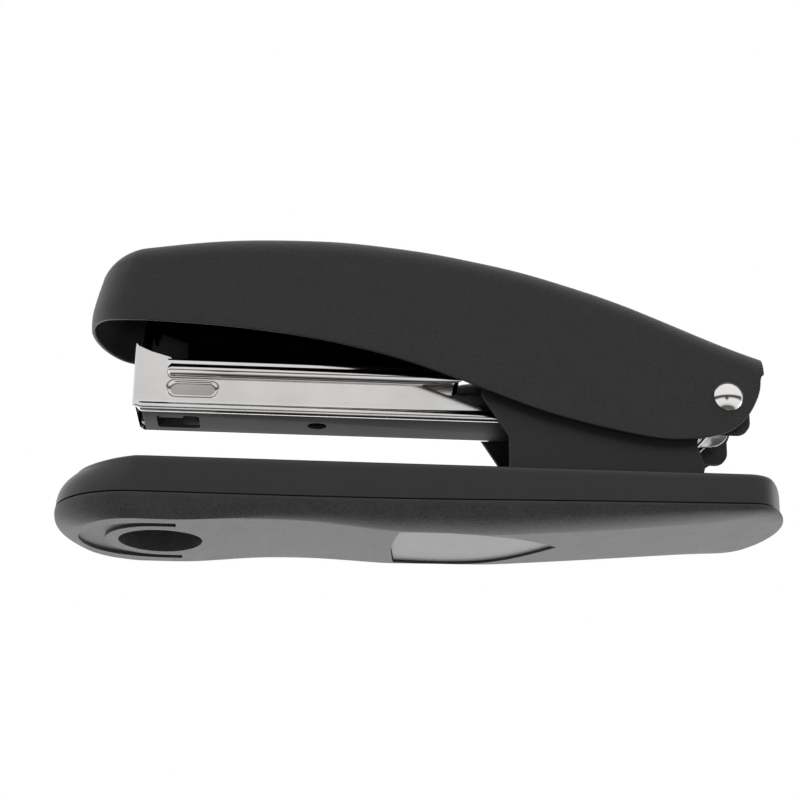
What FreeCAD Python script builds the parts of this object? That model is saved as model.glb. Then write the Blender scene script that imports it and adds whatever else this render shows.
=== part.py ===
import FreeCAD
import Part
import math
import os

# A full-strip desk stapler. Millimetres, +Z up, nose towards -X, hinge towards +X, z = 0 on the table.

# ---- base ----
base_length = 157.2          # over the sole, end to end
base_width = 36.0            # over the sole
base_height = 13.9           # top face of the base
sole_wall = 2.2
sole_floor = 2.0
sole_rear_corner = 7.0       # plan radius of the rear corners
sole_rear_bow = 28.0         # and of the bowed rear end between them
band_inset = 0.6             # the top cover stands this far inside the sole
band_wall = 1.6
seam_front = 6.0             # height of the joint between sole and top cover, at the front
seam_rise = 1.5              # how much higher it is at the rear
arch_height = 1.2            # hollow under the sole between its two resting stretches
front_rest = (-70.0, -52.0)  # where the sole rests at the front, x from and to
middle_rest = (-6.0, 14.0)   # and in the middle
tail_lift = 5.0              # height of the underside near the rear end
panel_length = 35.7
panel_width = 25.2
panel_recess = 1.0
panel_thickness = 0.5
panel_gap = 0.15
peg_r = 2.0                  # snap pegs between the sole and the top cover
peg_gap = 1.8                # from a peg to the wall of the top cover

# ---- anvil ----
anvil_x = -55.8              # axis of the turning anvil and of the thumb hole under it
thumb_hole_r = 8.95
thumb_tube_wall = 1.9
anvil_length = 20.4
anvil_width = 17.0
anvil_thickness = 1.2
anvil_stem_r = 3.0
anvil_lift = 2.4             # how far the button pushes the anvil up
button_r = 7.6
button_z = 6.2               # lower face of the button
button_thickness = 1.4
anvil_washer_r = 6.4
anvil_washer_thickness = 0.5
anvil_wire = 0.6
anvil_coil_r = 4.6              # middle of the wire

# ---- hinge ----
pivot_x = 65.3
pivot_z = 32.0
pin_r = 2.0
pin_head_r = 3.2
pin_head_height = 1.5
pin_tail_r = 2.8
ear_thickness = 1.2
ear_half_width = 11.6        # outside face of each ear
ear_front = 18.2
ear_top_radius = 7.2
bracket_rear = 59.6
rivet_r = 1.5
rivet_head_r = 2.8
rivet_head = 1.0

# ---- magazine ----
magazine_width = 14.4
magazine_z = 27.0            # underside
sheet = 0.7                  # steel of the magazine and of the cover rail
nose_x = -63.1               # front face of the nose plate
nose_top = 42.8
bead_r = 0.85
staple_leg = 6.0
staple_wire = 0.5
track_length = 111.0
track_sheet = 0.8
rod_r = 1.1
rod_length = 93.0
pusher_length = 10.6
pusher_travel = 52.0

# ---- cover rail ----
rail_front = -55.8
rail_rear = 8.1              # where the rolled beads run out
rail_top = 38.9
rail_bead_r = 1.4

# ---- handle ----
handle_width = 29.0
handle_wall = 1.6
handle_top = 66.7            # highest point of the crown
handle_rim = 45.0            # rim height at the nose
handle_nose = -73.7
handle_tail = 73.2
handle_shoulder = 4.6        # rounding between top and sides
arm_sheet = 0.8
arm_nose_z = 50.6            # underside of the press arm at the nose
arm_rear_z = 41.5            # and over the pivot
blade_thickness = 0.6
blade_tip_z = 36.0
leaf_width = 8.0
leaf_thickness = 0.6

# ---- clearances ----
running_fit = 0.06           # radial, between a shaft and its hole
side_gap = 0.15              # between sliding or swinging sheets
plate_gap = 0.1              # under the anvil and under the pin's heads

half_length = base_length / 2
half_width = base_width / 2
half_magazine = magazine_width / 2
half_handle = handle_width / 2
plate_underside = base_height - band_wall
anvil_bottom = base_height + plate_gap
bracket_floor = base_height + ear_thickness
rail_inner = half_magazine + side_gap
rail_outer = rail_inner + sheet
ear_inner = ear_half_width - ear_thickness
arm_inner = ear_half_width + 0.35
arm_outer = arm_inner + arm_sheet
inside_magazine = half_magazine - sheet
track_front = nose_x + 2.0
track_bottom = magazine_z + sheet
track_top = track_bottom + staple_leg - staple_wire
track_half = inside_magazine - staple_wire - 0.2
rod_z = (track_bottom + track_top - track_sheet) / 2
hole_r = pin_r + running_fit


def vec(x, y, z):
    return FreeCAD.Vector(x, y, z)


def face_of(start, steps, place):
    """Closed flat face: each step is a point, ("arc", through, to) or ("curve", points)."""
    edges, here = [], start
    for step in list(steps) + [start]:
        if step[0] == "arc":
            edges.append(Part.Arc(place(here), place(step[1]), place(step[2])).toShape())
            here = step[2]
        elif step[0] == "curve":
            curve = Part.BSplineCurve()
            curve.interpolate([place(p) for p in [here] + list(step[1])])
            edges.append(curve.toShape())
            here = step[1][-1]
        elif step != here:
            edges.append(Part.LineSegment(place(here), place(step)).toShape())
            here = step
    return Part.Face(Part.Wire(edges))


def side_prism(start, steps, y_from, y_to):
    """An (x, z) outline carried across the width."""
    return face_of(start, steps, lambda p: vec(p[0], y_from, p[1])).extrude(vec(0, y_to - y_from, 0))


def plan_prism(start, steps, z_from, z_to):
    """An (x, y) outline carried upwards."""
    return face_of(start, steps, lambda p: vec(p[0], p[1], z_from)).extrude(vec(0, 0, z_to - z_from))


def box(x_from, x_to, y_from, y_to, z_from, z_to):
    return Part.makeBox(x_to - x_from, y_to - y_from, z_to - z_from, vec(x_from, y_from, z_from))


def post(x, y, z_from, z_to, r):
    return Part.makeCylinder(r, z_to - z_from, vec(x, y, z_from), vec(0, 0, 1))


def cross_pin(x, z, y_from, y_to, r):
    return Part.makeCylinder(r, y_to - y_from, vec(x, y_from, z), vec(0, 1, 0))


def pivot_bore(r=hole_r):
    return cross_pin(pivot_x, pivot_z, -2 * half_width, 2 * half_width, r)


def mirrored(shape):
    return shape.mirror(vec(0, 0, 0), vec(0, 1, 0))


def save(node, *solids):
    shape = solids[0] if len(solids) == 1 else Part.makeCompound(list(solids))
    if not shape.isValid():
        print("not valid:", node)
    shape.exportStep("parts/" + node + ".step")
    b = shape.optimalBoundingBox()
    print(f"{node:16s} {len(shape.Solids)} solid  {shape.Volume:9.1f} mm3  "
          f"x {b.XMin:6.1f} {b.XMax:6.1f}  y {b.YMin:6.1f} {b.YMax:6.1f}  z {b.ZMin:6.1f} {b.ZMax:6.1f}")


# ---- base ----
def base_plan(inset, z_from, z_to):
    """Half-round front end, straight sides, a bowed rear end with round corners tangent to both."""
    w = half_width - inset
    front = -half_length + inset
    bow_x, corner_y = half_length - sole_rear_bow, half_width - sole_rear_corner
    corner_x = bow_x + math.sqrt((sole_rear_bow - sole_rear_corner) ** 2 - corner_y ** 2)
    turn = math.atan2(corner_y, corner_x - bow_x)
    c, half_turn = sole_rear_corner - inset, (math.pi / 2 + turn) / 2
    joint_x, joint_y = corner_x + c * math.cos(turn), corner_y + c * math.sin(turn)
    bend_x, bend_y = corner_x + c * math.cos(half_turn), corner_y + c * math.sin(half_turn)
    return plan_prism((front + w, -w), [
        (corner_x, -w),
        ("arc", (bend_x, -bend_y), (joint_x, -joint_y)),
        ("arc", (half_length - inset, 0), (joint_x, joint_y)),
        ("arc", (bend_x, bend_y), (corner_x, w)),
        (front + w, w),
        ("arc", (front, 0), (front + w, -w)),
    ], z_from, z_to)


def seam_points():
    """Joint line between sole and top cover, rear to front: level, then rising to the rear."""
    return [(half_length, seam_front + seam_rise), (0.45 * half_length, seam_front + 0.55 * seam_rise),
            (-0.1 * half_length, seam_front + 0.05 * seam_rise), (-half_length, seam_front)]


def under_points(up):
    """The underside, front to rear: rests, arches, rests again, then lifts towards the tail."""
    f0, f1 = front_rest
    m0, m1 = middle_rest
    tail_x = half_length - 8.6
    span = tail_x - m1
    arch = [(f1 + (m0 - f1) * t, up + arch_height * math.sin(math.pi * t) ** 2) for t in (0.25, 0.5, 0.75)]
    lift = [(m1 + span * t, up + tail_lift * t ** 1.2) for t in (0.35, 0.7, 1.0)]
    return [
        ("curve", [(-half_length + 1.4, up + 2.1), (-half_length + 4.4, up + 0.5), (f0, up)]),
        (f1, up),
        ("curve", arch + [(m0, up)]),
        (m1, up),
        ("curve", lift),
        ("curve", [(half_length - 3.0, up + tail_lift + 0.7), (half_length, up + tail_lift + 1.9)]),
    ]


def under_body(up, top=None):
    """Everything above the underside raised by up, to the seam or to a flat top."""
    start = (-half_length, up + 4.6)
    steps = under_points(up)
    if top is None:
        seam = seam_points()
        steps += [seam[0], ("curve", seam[1:])]
    else:
        steps += [(half_length, top), (-half_length, top)]
    return side_prism(start, steps, -half_width - 1, half_width + 1)


def panel_outline(inset, z_from, z_to):
    """Leaf shape: a nearly square front end and a point at the rear."""
    w = panel_width / 2 - inset
    x0 = middle_rest[0] + 0.7 + inset
    tip = middle_rest[0] - 0.3 + panel_length - 1.4 * inset
    a = [(x0 + 0.42 * (tip - x0), w), (x0 + 0.74 * (tip - x0), 0.66 * w)]
    return plan_prism((x0, -w), [
        ("curve", [(x, -y) for x, y in a] + [(tip, 0)]),
        ("curve", a[::-1] + [(x0, w)]),
        ("arc", (x0 - 1.0, 0), (x0, -w)),
    ], z_from, z_to)


def make_sole():
    outer = base_plan(0, -1, base_height).common(under_body(0)).common(tapered_sides())
    inner = base_plan(sole_wall, -1, base_height).common(under_body(sole_floor, base_height))
    sole = outer.cut(inner)
    tube = post(anvil_x, 0, 0.5, plate_underside, thumb_hole_r + thumb_tube_wall)
    sole = sole.fuse(tube).cut(post(anvil_x, 0, -1, base_height, thumb_hole_r))
    sole = sole.cut(groove())
    recess = panel_outline(0, -1, 8).common(under_body(-2, 8)).cut(under_body(panel_recess, 9))
    sole = sole.cut(recess)
    # four snap pegs carry the top cover
    peg_y = half_width - band_inset - band_wall - peg_r - peg_gap
    for x in (-30.0, 40.0):
        for y in (-peg_y, peg_y):
            sole = sole.fuse(post(x, y, 0, plate_underside, peg_r).common(outer_over(x)))
    return sole.removeSplitter()


def outer_over(x):
    """Room above the underside, around one peg."""
    return under_body(0.5, base_height).common(box(x - 3, x + 3, -half_width, half_width, 0, base_height))


def tapered_sides():
    """Sides that curve in under the sole: little at the nose, more from the middle to the tail."""
    stations = [(-half_length - 1, 0.9, 3.0, 0.0), (front_rest[1], 0.95, 3.4, 0.0),
                (middle_rest[0], 0.73, 4.4, 0.0), (middle_rest[1], 0.70, 4.4, 0.0),
                (half_length + 1, 0.67, 3.0, tail_lift + 0.6)]
    wires = []
    for x, flat, height, up in stations:
        y0, y1 = flat * half_width, half_width + 0.01
        ym, zm = y0 + 0.72 * (y1 - y0), up + 0.30 * height
        p = [vec(x, y, z) for y, z in ((-y0, up), (-ym, zm), (-y1, up + height), (-y1, 20), (y1, 20),
                                       (y1, up + height), (ym, zm), (y0, up))]
        edges = [Part.Arc(p[0], p[1], p[2]).toShape(), Part.makeLine(p[2], p[3]), Part.makeLine(p[3], p[4]),
                 Part.makeLine(p[4], p[5]), Part.Arc(p[5], p[6], p[7]).toShape(), Part.makeLine(p[7], p[0])]
        wires.append(Part.Wire(edges))
    return Part.makeLoft(wires, True, True)


def groove():
    """Shallow horseshoe around the thumb hole, open to the rear."""
    r_in, r_out, reach, end = thumb_hole_r + 2.75, thumb_hole_r + 5.3, 7.6, anvil_x + 4.0
    return plan_prism((end, -r_out), [
        (anvil_x, -r_out),
        ("arc", (anvil_x - thumb_hole_r - reach, 0), (anvil_x, r_out)),
        (end, r_out),
        (end, r_in),
        (anvil_x, r_in),
        ("arc", (anvil_x - r_in, 0), (anvil_x, -r_in)),
        (end, -r_in),
    ], -1, 0.7)


def make_base_top():
    lean = 2.6                  # how far the front face leans back
    top, seam = base_height, seam_points()
    front, rear = -half_length + band_inset, half_length - band_inset
    side = side_prism(seam[0], [
        (rear + 1, seam[0][1]), (rear + 1, top - 2.2),
        ("curve", [(rear - 1.2, top - 0.9), (rear - 4.0, top)]),
        (front + 2 * lean, top),
        ("curve", [(front + lean, top - 1.8), (front + 0.6, top - 4.6), (front - 1, seam_front + 1)]),
        (-half_length, seam_front),
        ("curve", seam[::-1][1:]),
    ], -half_width, half_width)
    outer = base_plan(band_inset, 0, base_height + 1).common(side)
    inner = base_plan(band_inset + band_wall, 0, plate_underside).common(
        box(-half_length + 3.4, half_length, -half_width, half_width, 0, plate_underside))
    shell = outer.cut(inner)
    shell = shell.cut(post(anvil_x, 0, 0, base_height + 1, anvil_stem_r + running_fit))
    for x, y in rivet_places():
        shell = shell.cut(post(x, y, 0, base_height + 1, rivet_r))
    return shell.removeSplitter()


def make_panel():
    skin = under_body(panel_recess - panel_thickness, 9).cut(under_body(panel_recess, 10))
    return panel_outline(panel_gap, -1, 8).common(skin)


# ---- anvil ----
def make_anvil_plate():
    l, w, z0 = anvil_length / 2, anvil_width / 2, anvil_bottom
    plate = box(anvil_x - l, anvil_x + l, -w, w, z0, z0 + anvil_thickness)
    plate = plate.makeFillet(3.0, [e for e in plate.Edges if e.BoundBox.ZLength > 0.9 * anvil_thickness])
    reach = staple_place() - anvil_x
    for side in (-1, 1):
        for y in (-3.6, 3.6):
            dish = Part.makeCylinder(4.2, 1.6, vec(anvil_x + side * reach - 0.8, y, z0 + anvil_thickness + 3.6),
                                     vec(1, 0, 0))
            plate = plate.cut(dish)
    return plate.cut(post(anvil_x, 0, 0, 20, anvil_stem_r - 0.8))


def staple_place():
    """Where the blade pushes a staple out, along the length."""
    return nose_x + 1.15


def make_anvil_button():
    disc = post(anvil_x, 0, button_z, button_z + button_thickness, button_r)
    dish = Part.makeSphere(26.0, vec(anvil_x, 0, button_z - 25.4))
    stem = post(anvil_x, 0, button_z, anvil_bottom, anvil_stem_r)
    neck = post(anvil_x, 0, button_z, anvil_bottom + anvil_thickness, anvil_stem_r - 0.8)
    return disc.cut(dish).fuse([stem, neck]).removeSplitter()


def make_anvil_washer():
    z0 = button_z + button_thickness
    ring = post(anvil_x, 0, z0, z0 + anvil_washer_thickness, anvil_washer_r)
    return ring.cut(post(anvil_x, 0, 0, 20, anvil_stem_r + running_fit))


def make_anvil_spring():
    """Drawn as a sleeve of the coil's size, between the washer and the roof of the base."""
    low = button_z + button_thickness + anvil_washer_thickness
    outside = post(anvil_x, 0, low, plate_underside, anvil_coil_r + anvil_wire / 2)
    return outside.cut(post(anvil_x, 0, 0, 20, anvil_coil_r - anvil_wire / 2))


# ---- hinge ----
def rivet_places():
    return [(x, y) for x in (ear_front + 8, bracket_rear - 8) for y in (-5.5, 5.5)]


def ear_outline(y_from, y_to):
    """Upright front edge leaning forward to the nose, a round top on the pivot, a lobe at the rear."""
    r = ear_top_radius
    lobe_x, lobe_z, lobe_r = pivot_x + 4.8, pivot_z - 7.4, 2.5
    k = lobe_r * (1 - math.sqrt(0.5))
    return side_prism((ear_front, base_height), [
        (ear_front, pivot_z - 9.3),
        (ear_front - 5.9, pivot_z - 0.4),
        ("arc", (ear_front - 5.6, pivot_z + 1.6), (ear_front - 3.4, pivot_z + 2.5)),
        (pivot_x - 9.0, pivot_z + 6.2),
        ("curve", [(pivot_x - 4.0, pivot_z + r - 0.9), (pivot_x, pivot_z + r - 1.0), (pivot_x + 3.8, pivot_z + 4.4),
                   (lobe_x, pivot_z)]),
        (lobe_x, lobe_z + lobe_r),
        ("arc", (lobe_x - k, lobe_z + k), (lobe_x - lobe_r, lobe_z)),
        (bracket_rear, lobe_z),
        (bracket_rear - 1.2, lobe_z - 3.0),
        (bracket_rear + 0.3, base_height + 3.2),
        ("arc", (bracket_rear - 0.1, base_height + 1.2), (bracket_rear - 2.0, base_height)),
    ], y_from, y_to)


def make_bracket():
    ear = ear_outline(ear_inner, ear_half_width)
    floor = box(ear_front, bracket_rear - 2.5, -ear_half_width, ear_half_width, base_height, bracket_floor)
    bracket = floor.fuse([ear, mirrored(ear)]).cut(pivot_bore(pin_r))
    for x, y in rivet_places():
        bracket = bracket.cut(post(x, y, 0, 20, rivet_r))
    return bracket.removeSplitter()


def make_bracket_rivets():
    rivets = []
    for x, y in rivet_places():
        shank = post(x, y, plate_underside - 0.8, bracket_floor + 0.2, rivet_r)
        head = dome(vec(x, y, bracket_floor), vec(0, 0, 1), rivet_head_r, rivet_head)
        tail = post(x, y, plate_underside - 0.8, plate_underside, rivet_head_r - 0.4)
        rivets.append(shank.fuse([head, tail]).removeSplitter())
    return rivets


def dome(centre, axis, r, height):
    """A spherical cap standing on a flat base."""
    ball_r = (r * r + height * height) / (2 * height)
    ball = Part.makeSphere(ball_r, centre - axis * (ball_r - height))
    return ball.common(Part.makeCylinder(r, height * 1.01, centre, axis))


def make_pin():
    reach = half_handle + plate_gap
    shaft = cross_pin(pivot_x, pivot_z, -reach - 0.3, reach + 0.3, pin_r)
    head = dome(vec(pivot_x, -reach, pivot_z), vec(0, -1, 0), pin_head_r, pin_head_height)
    tail = Part.makeCone(pin_tail_r, pin_r * 0.8, 1.2, vec(pivot_x, reach, pivot_z), vec(0, 1, 0))
    return shaft.fuse([head, tail]).removeSplitter()


def make_lift_spring():
    """Twin torsion coils on the pin; their long legs carry the magazine, the short ones stand on the bracket.

    Each coil is drawn as a sleeve of its own size."""
    wire_r, radius, leg_r = 0.38, 3.35, 0.33
    y0 = rail_outer + 0.25 + wire_r
    length = ear_inner - 0.25 - wire_r - y0
    ring = cross_pin(pivot_x, pivot_z, y0 - wire_r, y0 + length + wire_r, radius + wire_r)
    ring = ring.cut(pivot_bore(radius - wire_r))
    under = magazine_z - 0.15 - leg_r
    low = pivot_z - radius
    knee_x, foot_x = sum(track_rivet_places()) / 2, pivot_x - 14
    lifting = rod_between(vec(pivot_x, y0, low), vec(knee_x - 0.2, y0, under - 0.02), leg_r)
    bridge = rod_between(vec(knee_x, y0 + 0.6, under), vec(knee_x, -y0 - 0.6, under), leg_r * 1.1)
    far_y = y0 + length
    standing = rod_between(vec(pivot_x, far_y, low), vec(foot_x, far_y, bracket_floor + leg_r), leg_r)
    half = ring.fuse([lifting, standing])
    return half.fuse([mirrored(half), bridge]).removeSplitter()


def rod_between(a, b, r):
    return Part.makeCylinder(r, (b - a).Length, a, b - a)


# ---- magazine ----
def make_magazine_shell():
    """A steel trough: floor, two sides sloping down behind the nose, nose plate, beads at the corners."""
    back_low = pivot_z - 1.4
    profile = [
        (nose_x, nose_top),
        (nose_x + 1.0, nose_top - 0.6),
        (rail_front - 0.9, rail_top + 0.6),
        (rail_front - 0.3, rail_top - 1.5),
        (rail_rear - 12.0, rail_top - 2.9),
        (rail_rear + 1.9, pivot_z - 1.2),
        (rail_rear + 4.9, back_low),
        (pivot_x - 10.0, back_low),
        ("curve", [(pivot_x - 5.6, pivot_z + 1.2), (pivot_x - 2.4, pivot_z + 4.0), (pivot_x, pivot_z + 4.8)]),
        ("arc", (pivot_x + 4.8, pivot_z), (pivot_x, pivot_z - 4.8)),
        (pivot_x - 4.0, magazine_z),
        (nose_x + 1.0, magazine_z),
        (nose_x, magazine_z + 1.0),
    ]
    body = side_prism(profile[0], profile[1:], -half_magazine, half_magazine)
    for y in (-half_magazine + 0.35, half_magazine - 0.35):
        bead = Part.makeCylinder(bead_r, pivot_x - 8 - nose_x, vec(nose_x + 1.0, y, magazine_z + 1.05), vec(1, 0, 0))
        body = body.fuse(bead)
    body = body.cut(box(nose_x + sheet, pivot_x + 10, -inside_magazine, inside_magazine, track_bottom, 60))
    exit_slot = box(nose_x + sheet, track_front + 0.4, -inside_magazine, inside_magazine, 20, track_bottom + 1)
    window = box(nose_x + 5.1, nose_x + 14.3, -4.0, 4.0, 20, track_bottom + 0.1)
    sight_hole = post(-23.1, 0, 20, track_bottom + 0.1, 2.1)
    body = body.cut(Part.makeCompound([exit_slot, window, sight_hole]))
    rear_open = box(pivot_x - 6.0, pivot_x + 10, -inside_magazine, inside_magazine, 20, 60)
    body = body.cut(Part.makeCompound([rear_open, pivot_bore()] + [oval(s) for s in (-1, 1)]))
    for x in track_rivet_places():
        body = body.cut(post(x, 0, 20, 30, 1.0))
    return body.removeSplitter()


def oval(side):
    """Pressed-in oval on each side, near the nose."""
    x0, x1, z0, z1, depth = -55.6, -44.9, 30.4, 33.8, 0.35
    r = (z1 - z0) / 2
    y = half_magazine - depth if side > 0 else -half_magazine - 1
    return side_prism((x0 + r, z0), [
        (x1 - r, z0), ("arc", (x1, z0 + r), (x1 - r, z1)), (x0 + r, z1), ("arc", (x0, z0 + r), (x0 + r, z0)),
    ], y, y + 1 + depth)


def track_rivet_places():
    return (track_front + track_length - 11.0, track_front + track_length - 4.0)


def make_track():
    """Inverted channel that the staples sit astride, slotted along its top for the pusher."""
    x1 = track_front + track_length
    track = box(track_front, x1, -track_half, track_half, track_bottom, track_top)
    inner = track_half - track_sheet
    hollow = box(track_front + track_sheet, x1, -inner, inner, track_bottom - 1, track_top - track_sheet)
    slot = box(track_front + track_sheet, track_front + rod_length - 2, -1.6, 1.6, 20, track_top + 1)
    track = track.cut(hollow).cut(slot)
    # turned-in feet at the rear, riveted to the magazine floor
    a, b = track_rivet_places()
    foot = box(a - 4, b + 4, -inner - 0.1, inner + 0.1, track_bottom, track_bottom + track_sheet)
    track = track.fuse(foot)
    rod_hole = Part.makeCylinder(rod_r, 3, vec(track_front - 1, 0, rod_z), vec(1, 0, 0))
    holes = [rod_hole] + [post(x, 0, 20, 30, 1.0) for x in (a, b)]
    return track.cut(Part.makeCompound(holes)).removeSplitter()


def make_track_rivets():
    out = []
    for x in track_rivet_places():
        z0, z1 = magazine_z - 0.5, track_bottom + track_sheet
        shank = post(x, 0, z0, z1 + 0.5, 1.0)
        out.append(shank.fuse([post(x, 0, z0, magazine_z, 1.7), post(x, 0, z1, z1 + 0.5, 1.6)]).removeSplitter())
    return out


def make_rod():
    return Part.makeCylinder(rod_r, rod_length, vec(track_front, 0, rod_z), vec(1, 0, 0))


def holder_span():
    x1 = track_front + rod_length + 1.5
    return x1 - 6.0, x1


def make_rod_holder():
    x0, x1 = holder_span()
    inner = track_half - track_sheet - 0.05
    block = box(x0, x1, -inner, inner, track_bottom + 0.1, track_top - track_sheet - 0.05)
    return block.cut(Part.makeCylinder(rod_r, rod_length, vec(track_front, 0, rod_z), vec(1, 0, 0)))


def pusher_span():
    x0 = track_front + track_sheet + 0.3
    return x0, x0 + pusher_length


def make_pusher():
    """Saddle astride the track, with a tongue through its slot onto the rod."""
    x0, x1 = pusher_span()
    out = inside_magazine - 0.12
    gap = track_half + 0.1
    top = track_top + 2.6
    saddle = box(x0, x1, -out, out, magazine_z + 1.4, top)
    saddle = saddle.cut(box(x0 - 1, x1 + 1, -gap, gap, 20, track_top + 0.1))
    tongue = box(x0, x1 - 3.0, -1.4, 1.4, rod_z - 1.75, track_top + 0.5)
    bore = Part.makeCylinder(rod_r + running_fit, 20, vec(x0 - 1, 0, rod_z), vec(1, 0, 0))
    return saddle.fuse(tongue).cut(bore).removeSplitter()


def make_pusher_spring():
    """Drawn as a sleeve of the coil's outer size."""
    x0, x1 = pusher_span()[1] - 3.0, holder_span()[0]
    sleeve = Part.makeCylinder(1.75, x1 - x0, vec(x0, 0, rod_z), vec(1, 0, 0))
    return sleeve.cut(Part.makeCylinder(rod_r + 0.15, x1 - x0, vec(x0, 0, rod_z), vec(1, 0, 0)))


# ---- cover rail ----
def make_cover_rail():
    """Inverted channel with rolled lower edges in front, a narrow spine and two lugs at the pivot."""
    side_low = rail_top - 1.4
    bead_z = side_low - rail_bead_r
    spine_top = rail_top
    channel = box(rail_front, rail_rear, -rail_outer, rail_outer, bead_z, rail_top)
    channel = channel.cut(box(rail_front - 1, rail_rear + 1, -rail_inner, rail_inner, 20, rail_top - sheet))
    slope = side_prism((rail_rear - 3, bead_z - 2), [(rail_rear + 1, bead_z - 2), (rail_rear + 1, side_low)],
                       -20, 20)
    channel = channel.cut(slope)
    bead_y = rail_outer - 0.45
    r, length = rail_bead_r, rail_rear - 3 - rail_front
    bead = Part.makeCylinder(r, length, vec(rail_front, bead_y, bead_z), vec(1, 0, 0))
    tip = Part.makeCone(r, 0.4, 3.0, vec(rail_rear - 3, bead_y, bead_z), vec(1, 0, 0))
    bead = bead.fuse(tip).common(box(rail_front, rail_rear, rail_inner, rail_outer + r, 20, 60))
    lug_x = pivot_x - 9.0
    spine = box(rail_rear, pivot_x - 4, -rail_outer, rail_outer, spine_top - sheet, spine_top)
    lug = side_prism((lug_x, spine_top), [
        (lug_x, pivot_z),
        ("arc", (pivot_x - 1, pivot_z - 4.4), (pivot_x + 4.2, pivot_z)),
        ("curve", [(pivot_x + 2.6, pivot_z + 3.8), (pivot_x - 1.0, pivot_z + 5.6), (pivot_x - 4, spine_top)]),
    ], rail_inner, rail_outer)
    rail = channel.fuse([bead, mirrored(bead), spine, lug, mirrored(lug)])
    return rail.cut(pivot_bore()).removeSplitter()


# ---- handle ----
def handle_plan(inset, z_from, z_to):
    """Straight sides and a bowed nose with generous corners."""
    w = half_handle - inset
    nose = handle_nose + inset
    corner = [(nose + 7.3, -w * 0.925), (nose + 2.4, -w * 0.62), (nose, 0),
              (nose + 2.4, w * 0.62), (nose + 7.3, w * 0.925), (nose + 16, w)]
    return plan_prism((90, -w), [(nose + 16, -w), ("curve", corner), (90, w)], z_from, z_to)


def crown_points(drop):
    """The crown line, front to rear, lowered by drop."""
    top = handle_top - drop
    return [(-66.0, top - 3.6), (-52.3, top - 1.5), (-36.0, top - 0.2), (-19.3, top), (0.6, top - 1.9),
            (20.6, top - 5.6), (40.6, top - 11.6), (60.3, top - 19.6)]


def make_handle_cover():
    rim = handle_rim
    tail = (handle_tail, handle_top - 24.7)
    side = side_prism((handle_nose + 0.7, rim + 0.6), [
        ("curve", [(handle_nose, rim + 4), (handle_nose + 0.5, rim + 9), (handle_nose + 1.3, rim + 13)]),
        ("curve", [(handle_nose + 3.2, rim + 16.3)] + crown_points(0) + [tail]),
        ("curve", [(handle_tail - 0.9, 34.6), (70.9, 29.6), (66.5, 24.6), (61.0, 22.6), (54.0, 21.9)]),
        ("curve", [(44.0, 22.9), (30.2, 26.0), (11.9, 32.2), (-9.3, 39.1), (-30.0, 43.1), (-52.4, rim - 0.3),
                   (handle_nose + 0.7, rim + 0.6)]),
    ], -half_handle, half_handle)
    outer = handle_plan(0, 0, 90).common(side)
    top_edges = [e for e in outer.Edges if is_shoulder(e)]
    outer = outer.makeFillet(handle_shoulder, top_edges)
    w = handle_wall
    hollow = side_prism((handle_nose + w, 0), [
        (handle_nose + w, rim + 12),
        ("curve", [(handle_nose + 3.4 + w, rim + 15.2)] + crown_points(w) + [(handle_tail, tail[1] - w),
                                                                           (90, tail[1] - w - 7)]),
        (90, 0)], -half_handle, half_handle)
    inner = handle_plan(w, 0, 90).common(hollow)
    inner = inner.makeFillet(handle_shoulder - w, [e for e in inner.Edges if is_shoulder(e)])
    shell = outer.cut(inner)
    for x in (-36.0, 4.0):
        z0 = arm_top_at(x) + 0.05
        rib = box(x, x + w, -half_handle + w / 2, half_handle - w / 2, z0, 90).common(outer)
        shell = shell.fuse(rib)
    return shell.cut(pivot_bore()).removeSplitter()


def is_shoulder(edge):
    """Long edges where the crown meets the sides."""
    mid = edge.valueAt((edge.FirstParameter + edge.LastParameter) / 2)
    return edge.BoundBox.XLength > 1.5 and mid.z > 44 and mid.x < 70 and edge.BoundBox.YLength < 14.6 \
        and edge.BoundBox.ZLength > 0.01 and mid.z > handle_rim + 5 - 0.3 * max(0, mid.x)


def arm_top_at(x):
    share = (pivot_x - x) / (pivot_x - nose_x)
    return arm_rear_z + (arm_nose_z - arm_rear_z) * share + arm_sheet


def make_press_arm():
    """Inverted steel channel: web under the crown, short flanges, ears at the pivot, tab for the blade."""
    x0, x1 = blade_back(), pivot_x - 5.0
    up0, up1 = arm_top_at(x0), arm_top_at(x1)
    flange = 5.0
    lug_r = 5.6
    shape = side_prism((x0, up0), [
        (x1, up1),
        (pivot_x + 1.0, pivot_z + lug_r + 1.2),
        ("arc", (pivot_x + lug_r, pivot_z), (pivot_x, pivot_z - lug_r)),
        (pivot_x - lug_r, pivot_z + 1.5),
        (pivot_x - 22.0, arm_top_at(pivot_x - 22.0) - flange),
        (x0, up0 - flange),
    ], -arm_outer, arm_outer)
    inside = side_prism((x0 - 5, up0 - arm_sheet + 0.33), [
        (x1 + 3, arm_top_at(x1 + 3) - arm_sheet), (x1 + 3, 60), (90, 60), (90, 0), (x0 - 5, 0)],
        -arm_inner, arm_inner)
    arm = shape.cut(inside)
    nose_trim = plan_prism((x0 - 6, -20), [(x0 + 8, -20), (x0 + 8, -arm_outer), (x0, -7.0), (x0, 7.0),
                                           (x0 + 8, arm_outer), (x0 + 8, 20), (x0 - 6, 20)], 0, 90)
    arm = arm.cut(nose_trim)
    tab = box(x0, x0 + arm_sheet, -5.5, 5.5, arm_nose_z - 4.0, arm_nose_z)
    arm = arm.fuse(tab).cut(pivot_bore())
    cuts = [Part.makeCylinder(0.9, 6, vec(x0 - 3, y, arm_nose_z - 2), vec(1, 0, 0)) for y in (-3, 3)]
    cuts.append(post(leaf_root(), 0, 40, 60, 1.2))
    return arm.cut(Part.makeCompound(cuts)).removeSplitter()


def blade_radius():
    """Outer radius of the blade about the pivot: just behind the nose plate."""
    return pivot_x - nose_x - sheet - 0.35


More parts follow.
